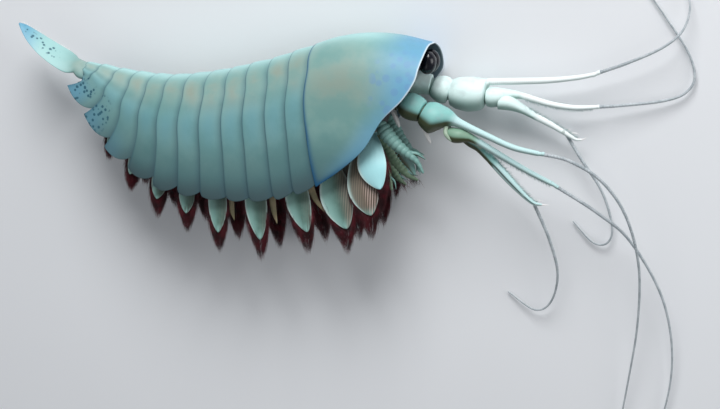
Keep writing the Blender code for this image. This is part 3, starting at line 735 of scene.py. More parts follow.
def tail_fan(material):
    """A flat leaf carried along its bent middle line, with a row of fine spines on its lower
    edge. A ring's point is half width · cos a across and half thickness · sin a ·
    (1 - 0.45 cos² a) up, and the leaf's root is a plain oval."""
    rows = spline(TAIL_SECTIONS, 73)
    middle = np.column_stack((rows[:, :2], np.full(len(rows), MIDPLANE)))
    run = np.gradient(middle, axis=0)
    across = unit(np.column_stack((run[:, 1], -run[:, 0], np.zeros(len(run))))) * math.cos(TAIL_ROLL)
    across[:, 2] = -math.sin(TAIL_ROLL)
    up = np.cross(unit(run), across)
    cos, sin = np.cos(ring_angles(40)), np.sin(ring_angles(40))
    u = np.linspace(0, 1, len(rows))
    lens = 0.45 * ramp(u, 0.12, 0.36)[:, None] * cos**2
    wide = (rows[:, 2:3] * cos)[..., None]
    thin = (rows[:, 3:4] * sin * (1 - lens))[..., None]
    points = middle[:, None] + wide * across[:, None] + thin * up[:, None]
    reach = -points[..., 0]
    root = bell(reach, 109.0, 5.0)
    leaf = ringed(
        points, middle[[0, -1]], u,
        tint=ramp(reach, 122.0, 131.0),
        dots=ramp(reach, 114.0, 120.0) * bell(cos, -0.05, 0.42),
        back=0.8 * ramp(133 - reach, 0, 8) * (1 - 0.75 * root),
        beige=0.8 * root,
    )
    at = np.linspace(0.46, 0.97, 26)
    edge = sampled(middle + across * rows[:, 2:3] * 0.97, u, at)
    along = unit(sampled(run, u, at))
    out = sampled(across, u, at)
    spines = hairs(edge, edge + 0.95 * out + 0.7 * along, 0.05 * along, 0.16)
    piece("tail_leaf", [leaf], material["plate"], ("telson",))
    piece("tail_spines", [spines], material["spine"])


# Body


def trunk(material):
    """The soft body: an oval ring at each section, drawn in by a groove at each plate's front."""
    x, top, low, half = spline(TRUNK_SECTIONS, 400).T
    groove = 1 - 0.05 * bell((x / TRUNK_RING_PITCH) % 1, 0.5, 0.13) * ramp(-x, -8, 0)
    path = np.column_stack((x, (top + low) / 2, np.full(len(x), MIDPLANE)))
    radii = np.column_stack((half, (top - low) / 2)) * groove[:, None]
    run = np.tile((1.0, 0.0, 0.0), (len(x), 1))
    # front: painted shade, near black inside the head under the shield
    body = tube(path, radii, 48, run=run, front=ramp(x, 2, 12)[:, None])
    piece("trunk", [body], material, ("trunk_core",))


def eye(side, sign, material):
    """An oval ball of latitude rings that taper to a point at both poles, on a short stalk."""
    middle = np.array((EYE[0], EYE[1], MIDPLANE + sign * EYE[2]))
    polar = np.linspace(0.03, np.pi - 0.03, 33)
    path = middle + np.outer(-np.cos(polar), (0, 0, EYE_HALF_SIZES[2]))
    radii = np.sin(polar)[:, None] * np.array((EYE_HALF_SIZES[1], EYE_HALF_SIZES[0]))
    run = np.tile((0.0, 0.0, 1.0), (len(polar), 1))
    ball = tube(path, radii, 40, wide=(0, 1, 0), run=run)
    root = middle - (6.0, 0.6, sign * 0.6)
    stalk_path = spline((root, (root + middle) / 2, middle - (1.6, 0.0, 0.0)), 14)
    stalk = tube(stalk_path, np.linspace(*STALK_RADII, len(stalk_path)), 20)
    piece(f"eye_ball_{side}", [ball], material["eye"], (f"eye_{side}",))
    # The stalk's near black is painted shade round the eye
    piece(f"eye_stalk_{side}", [stalk], material["socket"])


# Arms


def rounded_ends(at, first, last):
    """A factor on the radius that draws both ends of a limb in to blunt round ends, over the
    first and last given distances."""
    start = np.sqrt(1 - np.clip(1 - at / first, 0, 0.93) ** 2)
    end = np.sqrt(1 - np.clip(1 - (at[-1] - at) / last, 0, 0.93) ** 2)
    return start * end


def lengthened(rings, back, ahead):
    """Rings with the first one set back, and the last one ahead, along the limb."""
    rings = np.array(rings, float)
    ends = (rings[0] - rings[1], rings[-1] - rings[-2])
    for at, end, length in ((0, ends[0], back), (-1, ends[1], ahead)):
        rings[at, :3] += unit(end[:3]) * length
    return rings


def finger(rings, back, grooved, olive):
    """A finger: a barrel joint that runs on into a shaft with fine rings. The barrel's rings
    keep the joint's own direction, and the shaft's follow the path. A grooved finger has a
    furrow along its upper side: radius times 1 - 0.42 times a hill round the upper line."""
    rings = lengthened(rings, back, 0)
    rows, at = even_path(rings, 0.16)
    joint = np.linalg.norm(np.diff(rings[:JOINT_RINGS, :3], axis=0), axis=1).sum()
    free = ramp(at, joint - 1.0, joint + 2.5)[:, None]
    straight = unit(rings[2, :3] - rings[0, :3])
    run = straight * (1 - free) + unit(np.gradient(rows[:, :3], axis=0)) * free
    sides = 44 if grooved else 28
    ring = 1 - 0.035 * free[:, 0] * (0.5 + 0.5 * np.cos(at / SHAFT_RING_PITCH * 2 * np.pi))
    radius = (rows[:, 3] * ring * rounded_ends(at, 0.4, 0.3))[:, None]
    furrow = grooved * free * bell(ring_angles(sides), 0.35, 0.24)
    return tube(
        rows[:, :3], radius * (1 - 0.42 * furrow), sides, run=run, u=at,
        shaft=free, furrow=furrow, olive=olive * (1 - free),
    )


def peduncle(rings):
    """A barrel-shaped joint with blunt round ends."""
    rows, at = even_path(lengthened(rings, 0.3, 0.4), 0.14)
    return tube(rows[:, :3], rows[:, 3] * rounded_ends(at, 0.5, 0.5), 40, u=at)


def joint_skin(first, second, shaft=0.0):
    """The soft skin between two joints, or the collar round a whip's root: a short tube from
    inside the one to inside the other, which swells and narrows by three half sines."""
    first, second = np.array(first), np.array(second)
    inset = unit(second[:3] - first[:3]) * SKIN_INSET
    radius = 0.78 * min(first[3], second[3])
    path = np.linspace(first[:3] - inset, second[:3] + inset, 9)
    bulge = radius * (1 + 0.05 * np.sin(np.linspace(0, np.pi, 9) * 3))
    return tube(path, bulge, 24, shaft=shaft)


def shaft_bristles(rings, start, end, count, lean, length, random):
    """A row of bristles on one edge of a shaft, leaning towards its tip: lean is 1 for the
    upper edge and -1 for the lower one."""
    rows, at = even_path(rings, 0.16)
    where = np.linspace(start, end, count) * at[-1] + random.uniform(-0.2, 0.2, count)
    place = sampled(rows, at, where)
    run = unit(sampled(np.gradient(rows[:, :3], axis=0), at, where))
    out = lean * np.cross((0, 0, 1), run)
    out[:, 2] += random.uniform(-0.3, 0.5, count)
    roots = place[:, :3] + out * place[:, 3:] * 0.85
    tips = roots + (out + 0.7 * run) * (length * random.uniform(0.7, 1.2, count))[:, None]
    return hairs(roots, tips, 0.12 * run, 0.12)


def thorn(points, root, tip, sides=10):
    """A curved spine or claw that narrows evenly along its path to a blunt point."""
    path = spline(points, 22)
    blunt = np.sqrt(1 - np.linspace(0, 0.98, 22) ** 6)
    return tube(path, np.linspace(root, tip, 22) * blunt, sides)


def whip(points):
    """A whip of beads: its radius falls evenly to the tip and swells over each bead as the
    square root of a half sine, and each bead's first ring is its neck."""
    rows, at = even_path(points, BEAD_PITCH / BEAD_POINTS)
    phase = (at / BEAD_PITCH) % 1
    neck = 1 - np.sqrt(np.sin(phase * np.pi))
    radius = np.linspace(WHIP_ROOT, WHIP_TIP, len(at)) * (1 - NECK_DEPTH * neck)
    return tube(rows, radius, 9, u=at, neck=neck[:, None])


def arm(side, material, random):
    """One arm: two base joints, three fingers with their whips, the skin and collars between
    them, and the bristles of the lower two fingers."""
    rings = ARMS[side]
    limb = material[f"{side}_limb"]
    for name in ("peduncle_1", "peduncle_2"):
        piece(f"{side}_arm_{name}", [peduncle(rings[name])], limb, (f"arm_{side}_{name}",))
    for number in (1, 2, 3):
        name = f"finger_{number}"
        grooved = (side, number) == ("right", 3)
        olive = FINGER_OLIVE * ((side, number) == ("right", 2))
        body = finger(rings[name], FINGER_SETBACKS[side][number - 1], grooved, olive)
        piece(f"{side}_arm_{name}", [body], limb, (f"arm_{side}_{name}",))
        lash = whip(WHIPS[side][number - 1])
        replaced = (f"arm_{side}_flagellum_{number}",)
        piece(f"{side}_arm_whip_{number}", [lash], material["whip"], replaced)
    skins = [
        joint_skin(rings["peduncle_1"][-1], rings["peduncle_2"][0]),
        joint_skin(rings["peduncle_2"][-1], rings["finger_1"][0]),
        joint_skin(rings["finger_1"][3], rings["finger_2"][0]),
        joint_skin(rings["finger_2"][2], rings["finger_3"][0]),
    ]
    collars = [
        joint_skin(
            (*rings[f"finger_{number}"][at][:3], COLLAR_RADIUS),
            (*WHIPS[side][number - 1][0], COLLAR_RADIUS),
            shaft=1.0,
        )
        for number, at in ((1, -1), (2, -1), (3, -3))
    ]
    piece(f"{side}_arm_joint_skin", skins, material[f"{side}_skin"])
    piece(f"{side}_arm_whip_collars", collars, limb)
    bristles = [
        shaft_bristles(rings["finger_2"], 0.35, 0.97, 110, -1, 0.9, random),
        shaft_bristles(rings["finger_3"], 0.3, 0.93, 90, 1, 1.3, random),
    ]
    piece(f"{side}_arm_bristles", bristles, material["bristle"])


def arm_claws(material):
    """The pale cuffs of two right joints, the claws that end the third fingers, and two thin
    spines under the right arm."""
    cuffs = [thorn(*values) for values in CUFFS]
    piece("right_arm_cuffs", cuffs, material["cuff"])
    for side in ("left", "right"):
        fingertip = np.array(ARMS[side]["finger_3"][-1][:3])
        claws = [thorn(fingertip + points, root, tip) for points, root, tip in FINGER_CLAWS[side]]
        piece(f"{side}_arm_claws", claws, material["spine"])
    spines = [thorn(*values) for values in ARM_SPINES]
    piece("right_arm_spines", spines, material["spine"])


# Legs and flaps


def swung(side, number, points):
    """Points of a right head leg as they lie on this side: swung about the leg's root in the
    plane of the flank, set back, and mirrored for the left side. The third column is the
    distance from the midplane."""
    points = np.array(points, float)
    root = np.array(LEGS[number - 1][0][:2])
    cos, sin = math.cos(LEG_SWING[side]), math.sin(LEG_SWING[side])
    turned = (points[:, :2] - root) @ np.array(((cos, sin), (-sin, cos))) + root
    points[:, :2] = turned + (HEAD_LIMB_SHIFT[side], 0)
    points[:, 2] = MIDPLANE + (1 if side == "right" else -1) * points[:, 2]
    return points


def ringed_leg(rings, olive):
    """A leg of short bulging joints: its radius swells over each joint as the square root of a
    half sine."""
    rows, at = even_path(rings, 0.14)
    swell = 0.84 + 0.19 * np.sqrt(np.abs(np.sin(at / at[-1] * LEG_BUMPS * np.pi)))
    radius = rows[:, 3] * swell * rounded_ends(at, 1.0, 0.5)
    return tube(rows[:, :3], radius, 24, u=at, olive=olive, shaft=1.0)


def leg_teeth(side):
    """A row of short teeth along the front of the second leg."""
    rows, at = even_path(swung(side, 2, LEGS[1]), 0.2)
    place = sampled(rows, at, np.linspace(0.25, 0.85, LEG_TEETH) * at[-1])
    roots = place[:, :3] + (0.55, 0.65, 0.0) * place[:, 3:]
    return hairs(roots, roots + (0.75, 0.75, 0.0), np.zeros_like(roots), 0.38)


def leg_leaf(side):
    """The narrow leaf beside the first leg: its half width grows as a power of half a sine."""
    path = spline(swung(side, 1, LEG_LEAF), 26)
    rise = np.linspace(0, 1, len(path))
    half_width = 0.25 + 1.45 * np.sin(np.pi * rise**0.8) ** 0.8
    return tube(path, np.column_stack((np.full(len(path), 0.3), half_width)), 20, u=26 * rise)


def head_legs(side, material, random):
    """Three ringed legs with forked tips, a leaf beside the first and teeth along the second,
    whose tip has a fringe."""
    legs = []
    for number, rings in enumerate(LEGS, 1):
        olive = LEG_OLIVE if number > 1 else 0.0
        legs.append([ringed_leg(swung(side, number, rings), olive)])
    for number, points, root, tip in LEG_CLAWS:
        legs[number - 1].append(thorn(swung(side, number, points), root, tip, 14))
    legs[0].append(leg_leaf(side))
    legs[1].append(leg_teeth(side))
    for number, parts in enumerate(legs, 1):
        piece(f"{side}_head_leg_{number}", parts, material["leg"], (f"leg_{side}_{number}",))
    count = LEG_FRINGE_HAIRS
    roots = swung(side, 2, LEG_FRINGE_PLACE)[0] + random.normal(0, 1, (count, 3)) * (1.2, 0.5, 0.7)
    forward = random.uniform(-0.6, 2.4, count)
    down = random.uniform(-3.4, -1.2, count)
    aside = random.normal(0, 0.7, count)
    tips = roots + np.column_stack((forward, down, aside))
    fringe = hairs(roots, tips, np.zeros_like(roots), 0.07)
    piece(f"{side}_head_leg_fringe", [fringe], material["fringe"])


def flap_line(side, sign, values, number):
    """The middle line of a flap, its half widths, which swell and narrow by powers of half a
    sine, and how far along each ring is."""
    line = spline((values[0:3], values[3:6], values[6:9]), 49)
    rise = np.linspace(0, 1, len(line))
    half = values[9]
    bow = np.sin(rise * np.pi)
    near_root = FLAP_ROOT_HALF_WIDTH + (half - FLAP_ROOT_HALF_WIDTH) * bow**0.8
    near_tip = FLAP_TIP_HALF_WIDTH + (half - FLAP_TIP_HALF_WIDTH) * bow**0.74
    line[:, 2] = MIDPLANE + sign * line[:, 2]
    if number <= HEAD_FLAPS:
        line[:, 0] += HEAD_LIMB_SHIFT[side]
    return line, np.where(rise < 0.5, near_root, near_tip), rise


def flap_marks(number, out, low):
    """Where a flap is rimmed, pale, bright, brown and combed. out runs from -1 at its rear edge
    to 1 at its front one, and low from 0 at its root to 1 at its tip."""
    marks = {"rim": np.maximum(bell(out, -1, 0.14), 0.5 * bell(out, 1, 0.08))}
    if number == 1:
        return {**marks, "pale": 1.0, "bright": 1.0, "brown": 0.0, "comb": 0.0}
    marks["pale"] = np.maximum(ramp(-out, -0.25, 1.0), 0.8 * ramp(low, 0.8, 1.0))
    marks["bright"] = marks["comb"] = 0.0
    if number == 2:
        marks["brown"] = ramp(out, -1.1, -0.7) * (1 - 0.7 * ramp(low, 0.8, 1))
        marks["comb"] = ramp(out, -0.2, 0.3) * ramp(low, 0.3, 0.6)
    elif number == 3:
        marks["brown"] = 0.7 * ramp(out, -0.2, 0.7)
        marks["comb"] = 0.25 * ramp(out, 0.1, 0.7) * ramp(low, 0.2, 0.5)
    else:
        marks["brown"] = 0.3 * ramp(out, -0.1, 0.9)
    return marks


def flap(side, sign, number, values, material, random):
    """A cambered leaf with a lens section, half thickness · sin a · (0.42 + 0.58 sin² a), and
    fine ribs round its middle line."""
    line, widths, rise = flap_line(side, sign, values, number)
    run = unit(np.gradient(line, axis=0))
    across = unit(np.array((1.0, 0.0, 0.0)) - run * run[:, :1])
    up = np.cross(run, across)
    angle = ring_angles(44)
    out, sin = np.cos(angle), np.sin(angle)
    rib = 0.04 * np.cos(out * 26) * bell(out, 0, 0.8)
    thin = FLAP_HALF_THICKNESS * sin * (0.42 + 0.58 * sin**2) + rib * np.sign(sin)
    camber = -0.55 * out**2 * np.sin(rise * np.pi)[:, None]
    body = (
        line[:, None]
        + (widths[:, None] * out)[..., None] * across[:, None]
        + (thin + sign * camber * np.sign(up[:, 2:]))[..., None] * up[:, None]
    )
    leaf = ringed(body, line[[0, -1]], rise, **flap_marks(number, out, rise[:, None]))
    piece(f"{side}_flap_{number:02d}", [leaf], material["flap"], (f"flap_{side}_{number:02d}",))
    fringe = flap_fringe(line, widths, rise, sign, number > 1, values[9], random)
    piece(f"{side}_flap_fringe_{number:02d}", [fringe], material["fringe"])


def flap_fringe(line, widths, rise, sign, both_edges, half_width, random):
    """The hairs behind a flap. They hang from both edges, or the front one alone, and some from
    between them, and their tips draw together to a point below the flap."""
    count = FRINGE_HAIRS
    at = np.sort(random.uniform(0.22, 0.99, count))
    edge = np.where(np.arange(count) % 2, 1.0, -1.0 if both_edges else 1.0)
    inside = random.uniform(0, 1, count) < FRINGE_INSIDE_SHARE
    edge *= np.where(inside, random.uniform(0, 1, count), 1.0)
    roots = sampled(line, rise, at)
    roots[:, 0] += edge * np.interp(at, rise, widths) * 0.93
    roots[:, 2] -= sign * FRINGE_BEHIND
    drop = FRINGE_DROP * (0.55 + 0.45 * half_width / FLAPS[0][9])
    apex = line[-1] + (0.4, -drop, 0.0)
    outside = roots.copy()
    outside[:, 0] += edge * FRINGE_SPREAD * (1.05 - at) * random.uniform(0.3, 1.3, count)
    reach = 0.3 + 0.55 * at + random.uniform(-0.15, 0.12, count)
    stray = random.normal(0, 1, (count, 3)) * (0.4, 0.5, 0.8)
    tips = outside + (apex - outside) * reach[:, None] + stray
    tips[:, 2] = np.maximum(tips[:, 2], FRINGE_ABOVE_FLOOR)
    bend = np.column_stack((edge * random.uniform(0.1, 0.8, count), np.zeros((count, 2))))
    return hairs(roots, tips, bend, FRINGE_RADIUS)


def flap_branches(side, sign, material):
    """Narrow blades beside three of the flaps: both radii fall with 1 - rise², as rise runs from
    0 at the root to 1 at the tip."""
    rise = np.linspace(0, 1, 26)
    radii = np.column_stack((0.12 + 1.35 * (1 - rise**2), 0.1 + 0.4 * (1 - rise**2)))
    blades = []
    for points in FLAP_BRANCHES:
        path = spline(points, len(rise))
        path[:, 2] = MIDPLANE + sign * path[:, 2]
        blades.append(tube(path, radii, 16, wide=(1, 0, 0), u=rise))
    piece(f"{side}_flap_branches", blades, material)


# Nodes


def socket(made, key, value):
    """Links an output to a node's input, or sets a plain value on it."""
    if isinstance(value, bpy.types.NodeSocket):
        made.id_data.links.new(value, made.inputs[key])
    else:
        made.inputs[key].default_value = value


def node(tree, kind, inputs=(), **settings):
    """A node with its settings made and its inputs linked or set."""
    made = tree.nodes.new(kind)
    for name, value in settings.items():
        setattr(made, name, value)
    for key, value in dict(inputs).items():
        socket(made, key, value)
    return made


def math_node(tree, operation, first, second=0.0):
    """The result of one sum on two values."""
    return node(tree, "ShaderNodeMath", {0: first, 1: second}, operation=operation).outputs[0]


def blend_colour(tree, share, below, above):
    """Two colours mixed by a share."""
    made = node(tree, "ShaderNodeMix", {0: share}, data_type="RGBA")
    for key, colour in ((6, below), (7, above)):
        socket(made, key, colour if isinstance(colour, bpy.types.NodeSocket) else (*colour, 1.0))
    return made.outputs[2]


def spread_over(tree, value, start, end, low=0.0, high=1.0):
    """A value's range from start to end carried smoothly to low and high."""
    ranges = {"Value": value, "From Min": start, "From Max": end, "To Min": low, "To Max": high}
    return node(tree, "ShaderNodeMapRange", ranges, interpolation_type="SMOOTHSTEP").outputs[0]


def mark(tree, name):
    """A mark's value on the surface."""
    return node(tree, "ShaderNodeAttribute", attribute_name=name).outputs["Fac"]


def tinted(tree, colour, name, strength, tint):
    """A colour with a tint laid over it as far as a mark says, times a strength."""
    return blend_colour(tree, math_node(tree, "MULTIPLY", mark(tree, name), strength), colour, tint)


def start_group(name, inputs, outputs):
    """A shader node group with its sockets made. Gives the group and its input node."""
    tree = bpy.data.node_groups.new(name, "ShaderNodeTree")
    for key, value in inputs:
        made = tree.interface.new_socket(key, in_out="INPUT", socket_type="NodeSocketFloat")
        made.default_value = value
    for key in outputs:
        tree.interface.new_socket(key, in_out="OUTPUT", socket_type="NodeSocketFloat")
    return tree, node(tree, "NodeGroupInput")


def cuticle_group():
    """The grain that every cuticle has, from the object's coordinates in metres: soft clouds,
    fine speckle, and a height of shallow dimples and pores."""
    tree, inside = start_group("cuticle_grain", (("Clouds", 90.0),), ("Cloud", "Speckle", "Height"))
    where = node(tree, "ShaderNodeTexCoord").outputs["Object"]

    def noise(scale, detail, roughness=0.5):
        """A cloudy value with this scale for each metre."""
        settings = {"Vector": where, "Scale": scale, "Detail": detail, "Roughness": roughness}
        return node(tree, "ShaderNodeTexNoise", settings).outputs["Fac"]

    speckle = noise(PORE_SCALE, 2.0)
    dimples = math_node(tree, "MULTIPLY", noise(DIMPLE_SCALE, 2.0), 0.7)
    pores = math_node(tree, "MULTIPLY", speckle, 0.3)
    height = math_node(tree, "ADD", dimples, pores)
    cloud = noise(inside.outputs["Clouds"], 3.0, 0.55)
    node(tree, "NodeGroupOutput", {"Cloud": cloud, "Speckle": speckle, "Height": height})
    return tree


def spots_group():
    """Round spots scattered over a surface: 1 inside a spot and 0 outside, by the distance to
    the nearest of many scattered points."""
    tree, inside = start_group("scattered_spots", (("Scale", 500.0), ("Size", 0.3)), ("Spot",))
    where = node(tree, "ShaderNodeTexCoord").outputs["Object"]
    settings = {"Vector": where, "Scale": inside.outputs["Scale"]}
    near = node(tree, "ShaderNodeTexVoronoi", settings).outputs["Distance"]
    size = inside.outputs["Size"]
    core = math_node(tree, "MULTIPLY", size, 0.65)
    node(tree, "NodeGroupOutput", {"Spot": spread_over(tree, near, size, core)})
    return tree


# Materials


def start_material(name, roughness, groups, clouds=90.0, bump=0.12, **constants):
    """A Principled material with the cuticle's grain in its bump and its roughness. Gives the
    material, its tree and the grain's clouds."""
    made = bpy.data.materials.new(name)
    made.use_nodes = True
    tree = made.node_tree
    shader = tree.nodes["Principled BSDF"]
    for key, value in constants.items():
        shader.inputs[key.replace("_", " ")].default_value = value
    grain = node(tree, "ShaderNodeGroup", node_tree=groups["grain"])
    socket(grain, "Clouds", clouds)
    heights = {"Height": grain.outputs["Height"], "Strength": bump, "Distance": BUMP_DISTANCE}
    socket(shader, "Normal", node(tree, "ShaderNodeBump", heights).outputs[0])
    speckle = grain.outputs["Speckle"]
    socket(shader, "Roughness", spread_over(tree, speckle, 0.3, 0.7, roughness - 0.06, roughness + 0.08))
    return made, tree, grain.outputs["Cloud"]


def coloured(made, colour):
    """The material with its colour linked."""
    socket(made.node_tree.nodes["Principled BSDF"], "Base Color", colour)
    return made


def plate_material(name, groups, blue, line_colour, spot_colour, spot_scale, spot_size, spot_share):
    """Pale aqua cuticle: whiter along the back, beige clouds on the upper flank, bluer under
    the shoulder, with painted shade that deepens to the lower edge, a painted shadow on each
    plate's front strip, painted shade on the inner face, dark blue plate lines and marked spots."""
    made, tree, cloud = start_material(name, 0.5, groups, Coat_Weight=0.08, Coat_Roughness=0.4)
    clouds = spread_over(tree, cloud, 0.35, 0.65)
    colour = blend_colour(tree, clouds, (0.155, 0.34, 0.325), (0.21, 0.40, 0.375))
    beige_share = spread_over(tree, cloud, 0.35, 0.65, 0.315, 0.9)
    colour = tinted(tree, colour, "beige", beige_share, (0.265, 0.30, 0.24))
    # Painted shade: darker towards the lower edge, and darkest at the margin
    colour = tinted(tree, colour, "lower", 0.95, (0.075, 0.18, 0.195))
    colour = tinted(tree, colour, "margin", 0.6, (0.05, 0.07, 0.085))
    colour = tinted(tree, colour, "blue", spread_over(tree, cloud, 0.2, 0.6, 0.55, 0.9), blue)
    colour = tinted(tree, colour, "back", 0.75, (0.46, 0.76, 0.76))
    colour = tinted(tree, colour, "tint", 0.8, (0.12, 0.38, 0.58))
    spots = node(tree, "ShaderNodeGroup", node_tree=groups["spots"])
    socket(spots, "Scale", spot_scale)
    socket(spots, "Size", spot_size)
    dots_share = spread_over(tree, mark(tree, "dots"), 0.15, 0.5, 0.0, spot_share)
    dots = math_node(tree, "MULTIPLY", spots.outputs["Spot"], dots_share)
    colour = blend_colour(tree, dots, colour, spot_colour)
    # Painted shadow on each plate's front strip, under the plate before it
    colour = tinted(tree, colour, "shade", 0.5, (0.05, 0.13, 0.17))
    colour = tinted(tree, colour, "line", spread_over(tree, cloud, 0.25, 0.6, 0.75, 1.0), line_colour)
    # Painted shade on the inner face; the rim's white is weaker there
    colour = tinted(tree, colour, "inner", 0.92, (0.10, 0.135, 0.155))
    rim_share = spread_over(tree, mark(tree, "inner"), 0.0, 1.0, 0.85, 0.25)
    return coloured(made, tinted(tree, colour, "rim", rim_share, (0.85, 0.93, 0.95)))


def limb_material(name, groups, pale, shaft, dark, underside_shade_from, ring_depth):
    """Mint-white cuticle with faint grey mottles, painted shade on the side that faces the belly,
    shafts of their own colour and fine rings round them."""
    made, tree, cloud = start_material(name, 0.5, groups, 260.0, Coat_Weight=0.05, Coat_Roughness=0.4)
    colour = blend_colour(tree, spread_over(tree, cloud, 0.45, 0.75, 0.0, 0.3), pale, (0.36, 0.42, 0.44))
    colour = tinted(tree, colour, "shaft", 0.85, shaft)
    colour = tinted(tree, colour, "olive", 0.8, (0.20, 0.27, 0.12))
    # Painted shade: the underside is darkened, less so on the shafts
    under = spread_over(tree, mark(tree, "under"), 0.0, underside_shade_from)
    underside_shade_share = spread_over(tree, mark(tree, "shaft"), 0.0, 1.0, 0.97, 0.4)
    colour = blend_colour(tree, math_node(tree, "MULTIPLY", under, underside_shade_share), colour, dark)
    # Painted shade: the groove of the grooved finger is near black
    colour = tinted(tree, colour, "furrow", 0.85, (0.01, 0.03, 0.035))
    surface = node(tree, "ShaderNodeUVMap", uv_map="surface").outputs[0]
    along = node(tree, "ShaderNodeSeparateXYZ", {0: surface}).outputs["X"]
    phase = math_node(tree, "FRACT", math_node(tree, "MULTIPLY", along, 1 / SHAFT_RING_PITCH))
    ring_share = spread_over(tree, phase, 0.12, 0.0, 0.0, ring_depth)
    return coloured(made, tinted(tree, colour, "shaft", ring_share, (0.20, 0.24, 0.22)))


def whip_material(groups):
    """Pale grey cuticle, darker at the neck of each bead."""
    made, tree, cloud = start_material("whip_cuticle", 0.4, groups, 400.0)
    clouds = spread_over(tree, cloud, 0.35, 0.7)
    colour = blend_colour(tree, clouds, (0.50, 0.55, 0.58), (0.34, 0.39, 0.42))
    neck = spread_over(tree, mark(tree, "neck"), 0.5, 1.0, 0.0, 0.8)
    return coloured(made, blend_colour(tree, neck, colour, (0.20, 0.23, 0.24)))


def flap_material(groups):
    """Thin pale leaf: dark teal that turns to mint at its rear side, whiter at its rim, with a
    brownish face crossed by the pale upright lines of its comb where it is marked."""
    made, tree, cloud = start_material("flap_leaf", 0.45, groups, 220.0)
    clouds = spread_over(tree, cloud, 0.35, 0.65)
    colour = blend_colour(tree, clouds, (0.065, 0.15, 0.125), (0.105, 0.205, 0.175))
    colour = tinted(tree, colour, "pale", 1.0, (0.30, 0.55, 0.50))
    colour = tinted(tree, colour, "bright", 0.85, (0.42, 0.80, 0.86))
    where = node(tree, "ShaderNodeTexCoord").outputs["Object"]
    across = node(tree, "ShaderNodeSeparateXYZ", {0: where}).outputs["X"]
    teeth = math_node(tree, "PINGPONG", math_node(tree, "MULTIPLY", across, TEETH_PER_METRE), 0.5)
    tooth = spread_over(tree, teeth, 0.22, 0.44)
    brown = blend_colour(tree, tooth, (0.13, 0.07, 0.045), (0.24, 0.15, 0.10))
    colour = tinted(tree, colour, "brown", 0.8, brown)
    pale_tooth = math_node(tree, "MULTIPLY", tooth, 0.85)
    colour = tinted(tree, colour, "comb", pale_tooth, (0.62, 0.48, 0.44))
    return coloured(made, tinted(tree, colour, "rim", 0.8, (0.72, 0.88, 0.84)))


def trunk_material(groups):
    """Soft brown skin, with painted shade that darkens it to near black navy inside the head."""
    made, tree, cloud = start_material("trunk_skin", 0.6, groups, 200.0, 0.4)
    colour = blend_colour(tree, spread_over(tree, cloud, 0.3, 0.7), (0.30, 0.22, 0.17), (0.44, 0.36, 0.28))
    # Painted shade inside the head
    return coloured(made, blend_colour(tree, mark(tree, "front"), colour, (0.015, 0.02, 0.035)))


def clouded_material(groups, name, roughness, first, second, clouds=300.0, bump=0.15, **constants):
    """A cuticle of two clouded colours."""
    made, tree, cloud = start_material(name, roughness, groups, clouds, bump, **constants)
    return coloured(made, blend_colour(tree, spread_over(tree, cloud, 0.35, 0.65), first, second))


def all_materials():
    """Every material by the key that the pieces ask for."""
    groups = {"grain": cuticle_group(), "spots": spots_group()}
    made = {
        "plate": plate_material(
            "plate_cuticle", groups,
            blue=(0.14, 0.36, 0.42), line_colour=(0.02, 0.09, 0.14),
            spot_colour=(0.015, 0.10, 0.15), spot_scale=640.0, spot_size=0.42, spot_share=0.9,
        ),
        "shield": plate_material(
            "shield_cuticle", groups,
            blue=(0.12, 0.37, 0.62), line_colour=(0.0, 0.09, 0.21),
            spot_colour=(0.13, 0.28, 0.52), spot_scale=300.0, spot_size=0.5, spot_share=0.45,
        ),
        # Painted light and shade: the left arm's cuticle is a paler lit copy, the right arm's a darker
        # shaded copy
        "left_limb": limb_material(
            "lit_left_limb_cuticle", groups,
            pale=(0.78, 0.96, 0.94), shaft=(0.93, 0.98, 0.98), dark=(0.28, 0.42, 0.38),
            underside_shade_from=1.0, ring_depth=0.3,
        ),
        "right_limb": limb_material(
            "shaded_right_limb_cuticle", groups,
            pale=(0.24, 0.54, 0.51), shaft=(0.58, 0.80, 0.81), dark=(0.045, 0.05, 0.012),
            underside_shade_from=0.55, ring_depth=0.45,
        ),
        "leg": limb_material(
            "leg_cuticle", groups,
            pale=(0.18, 0.36, 0.33), shaft=(0.18, 0.36, 0.33), dark=(0.05, 0.055, 0.025),
            underside_shade_from=0.8, ring_depth=0.5,
        ),
        "whip": whip_material(groups),
        "flap": flap_material(groups),
        "trunk": trunk_material(groups),
        "eye": clouded_material(
            groups, "eye_gloss", 0.2, *EYE_BLACK, bump=0.05, Coat_Weight=0.12, Coat_Roughness=0.08
        ),
        "floor": clouded_material(groups, "floor_sheet", 0.8, *FLOOR_GREY, clouds=8.0, bump=0.0),
    }
    for key, (name, roughness, first, second) in CLOUDED_SKINS.items():
        made[key] = clouded_material(groups, name, roughness, first, second)
    return made


# Floor, lights and camera


def floor_sheet(material):
    """A wide square sheet under the animal."""
    half = FLOOR_HALF_SIZE
    mesh = bpy.data.meshes.new("floor")
    corners = ((-half, -half, 0), (half, -half, 0), (half, half, 0), (-half, half, 0))
    mesh.from_pydata(corners, (), ((0, 1, 2, 3),))
    mesh.materials.append(material)
    floor = bpy.data.objects.new("floor", mesh)
    bpy.context.collection.objects.link(floor)


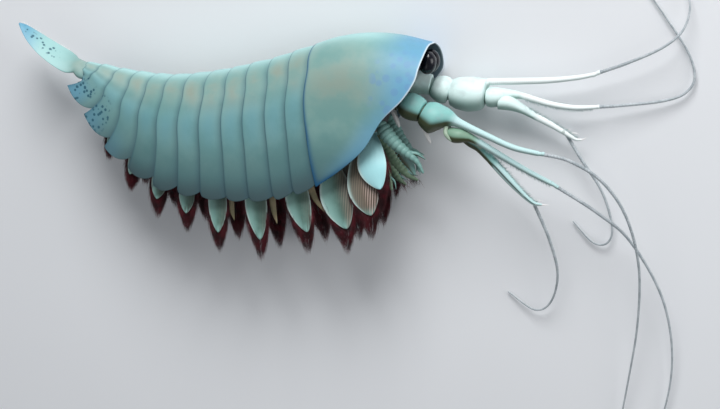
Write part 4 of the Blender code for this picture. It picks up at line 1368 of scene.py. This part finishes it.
def lights():
    """Soft round lights that face the middle of the animal, and an even pale surround."""
    for name, where, size, power in LIGHTS:
        data = bpy.data.lights.new(name, "AREA")
        data.shape = "DISK"
        data.size = size
        data.energy = power
        light = bpy.data.objects.new(name, data)
        light.location = where
        light.rotation_mode = "QUATERNION"
        light.rotation_quaternion = (-Vector(where)).to_track_quat("-Z", "Y")
        bpy.context.collection.objects.link(light)
    world = bpy.data.worlds.new("surround")
    world.use_nodes = True
    background = world.node_tree.nodes["Background"]
    background.inputs["Color"].default_value = (*SURROUND_COLOUR, 1.0)
    background.inputs["Strength"].default_value = SURROUND_STRENGTH
    bpy.context.scene.world = world


def camera():
    """The camera looks down on the animal, turned towards its head and tilted to its back."""
    back = Vector((
        math.sin(CAMERA_TURN) * math.cos(CAMERA_TILT),
        math.sin(CAMERA_TILT),
        math.cos(CAMERA_TURN) * math.cos(CAMERA_TILT),
    ))
    right = Vector((math.cos(CAMERA_TURN), 0, -math.sin(CAMERA_TURN)))
    up = back.cross(right)
    turn = Matrix((right, up, back)).transposed()
    target = (Vector((0, 0, MIDPLANE)) - Vector(BOX_MIDDLE)) * MM
    data = bpy.data.cameras.new("camera")
    data.lens = CAMERA_LENS
    data.sensor_width = CAMERA_SENSOR
    made = bpy.data.objects.new("camera", data)
    made.matrix_world = Matrix.Translation(target + back * CAMERA_DISTANCE) @ turn.to_4x4()
    bpy.context.collection.objects.link(made)
    bpy.context.scene.camera = made


def main():
    """Builds every piece, from the shield to the tail and then side by side, and the stage."""
    material = all_materials()
    random = np.random.default_rng(RANDOM_START)
    head_shield(material["shield"])
    for number in range(1, len(REAR_EDGES)):
        back_plate(number, material["plate"])
    tail_fan(material)
    trunk(material["trunk"])
    for side, sign in SIDES:
        eye(side, sign, material)
        arm(side, material, random)
        head_legs(side, material, random)
        for number, values in enumerate(FLAPS, 1):
            flap(side, sign, number, values, material, random)
        flap_branches(side, sign, material["branch"])
    arm_claws(material)
    floor_sheet(material["floor"])
    lights()
    camera()
    bpy.context.scene.view_settings.view_transform = "Standard"


main()
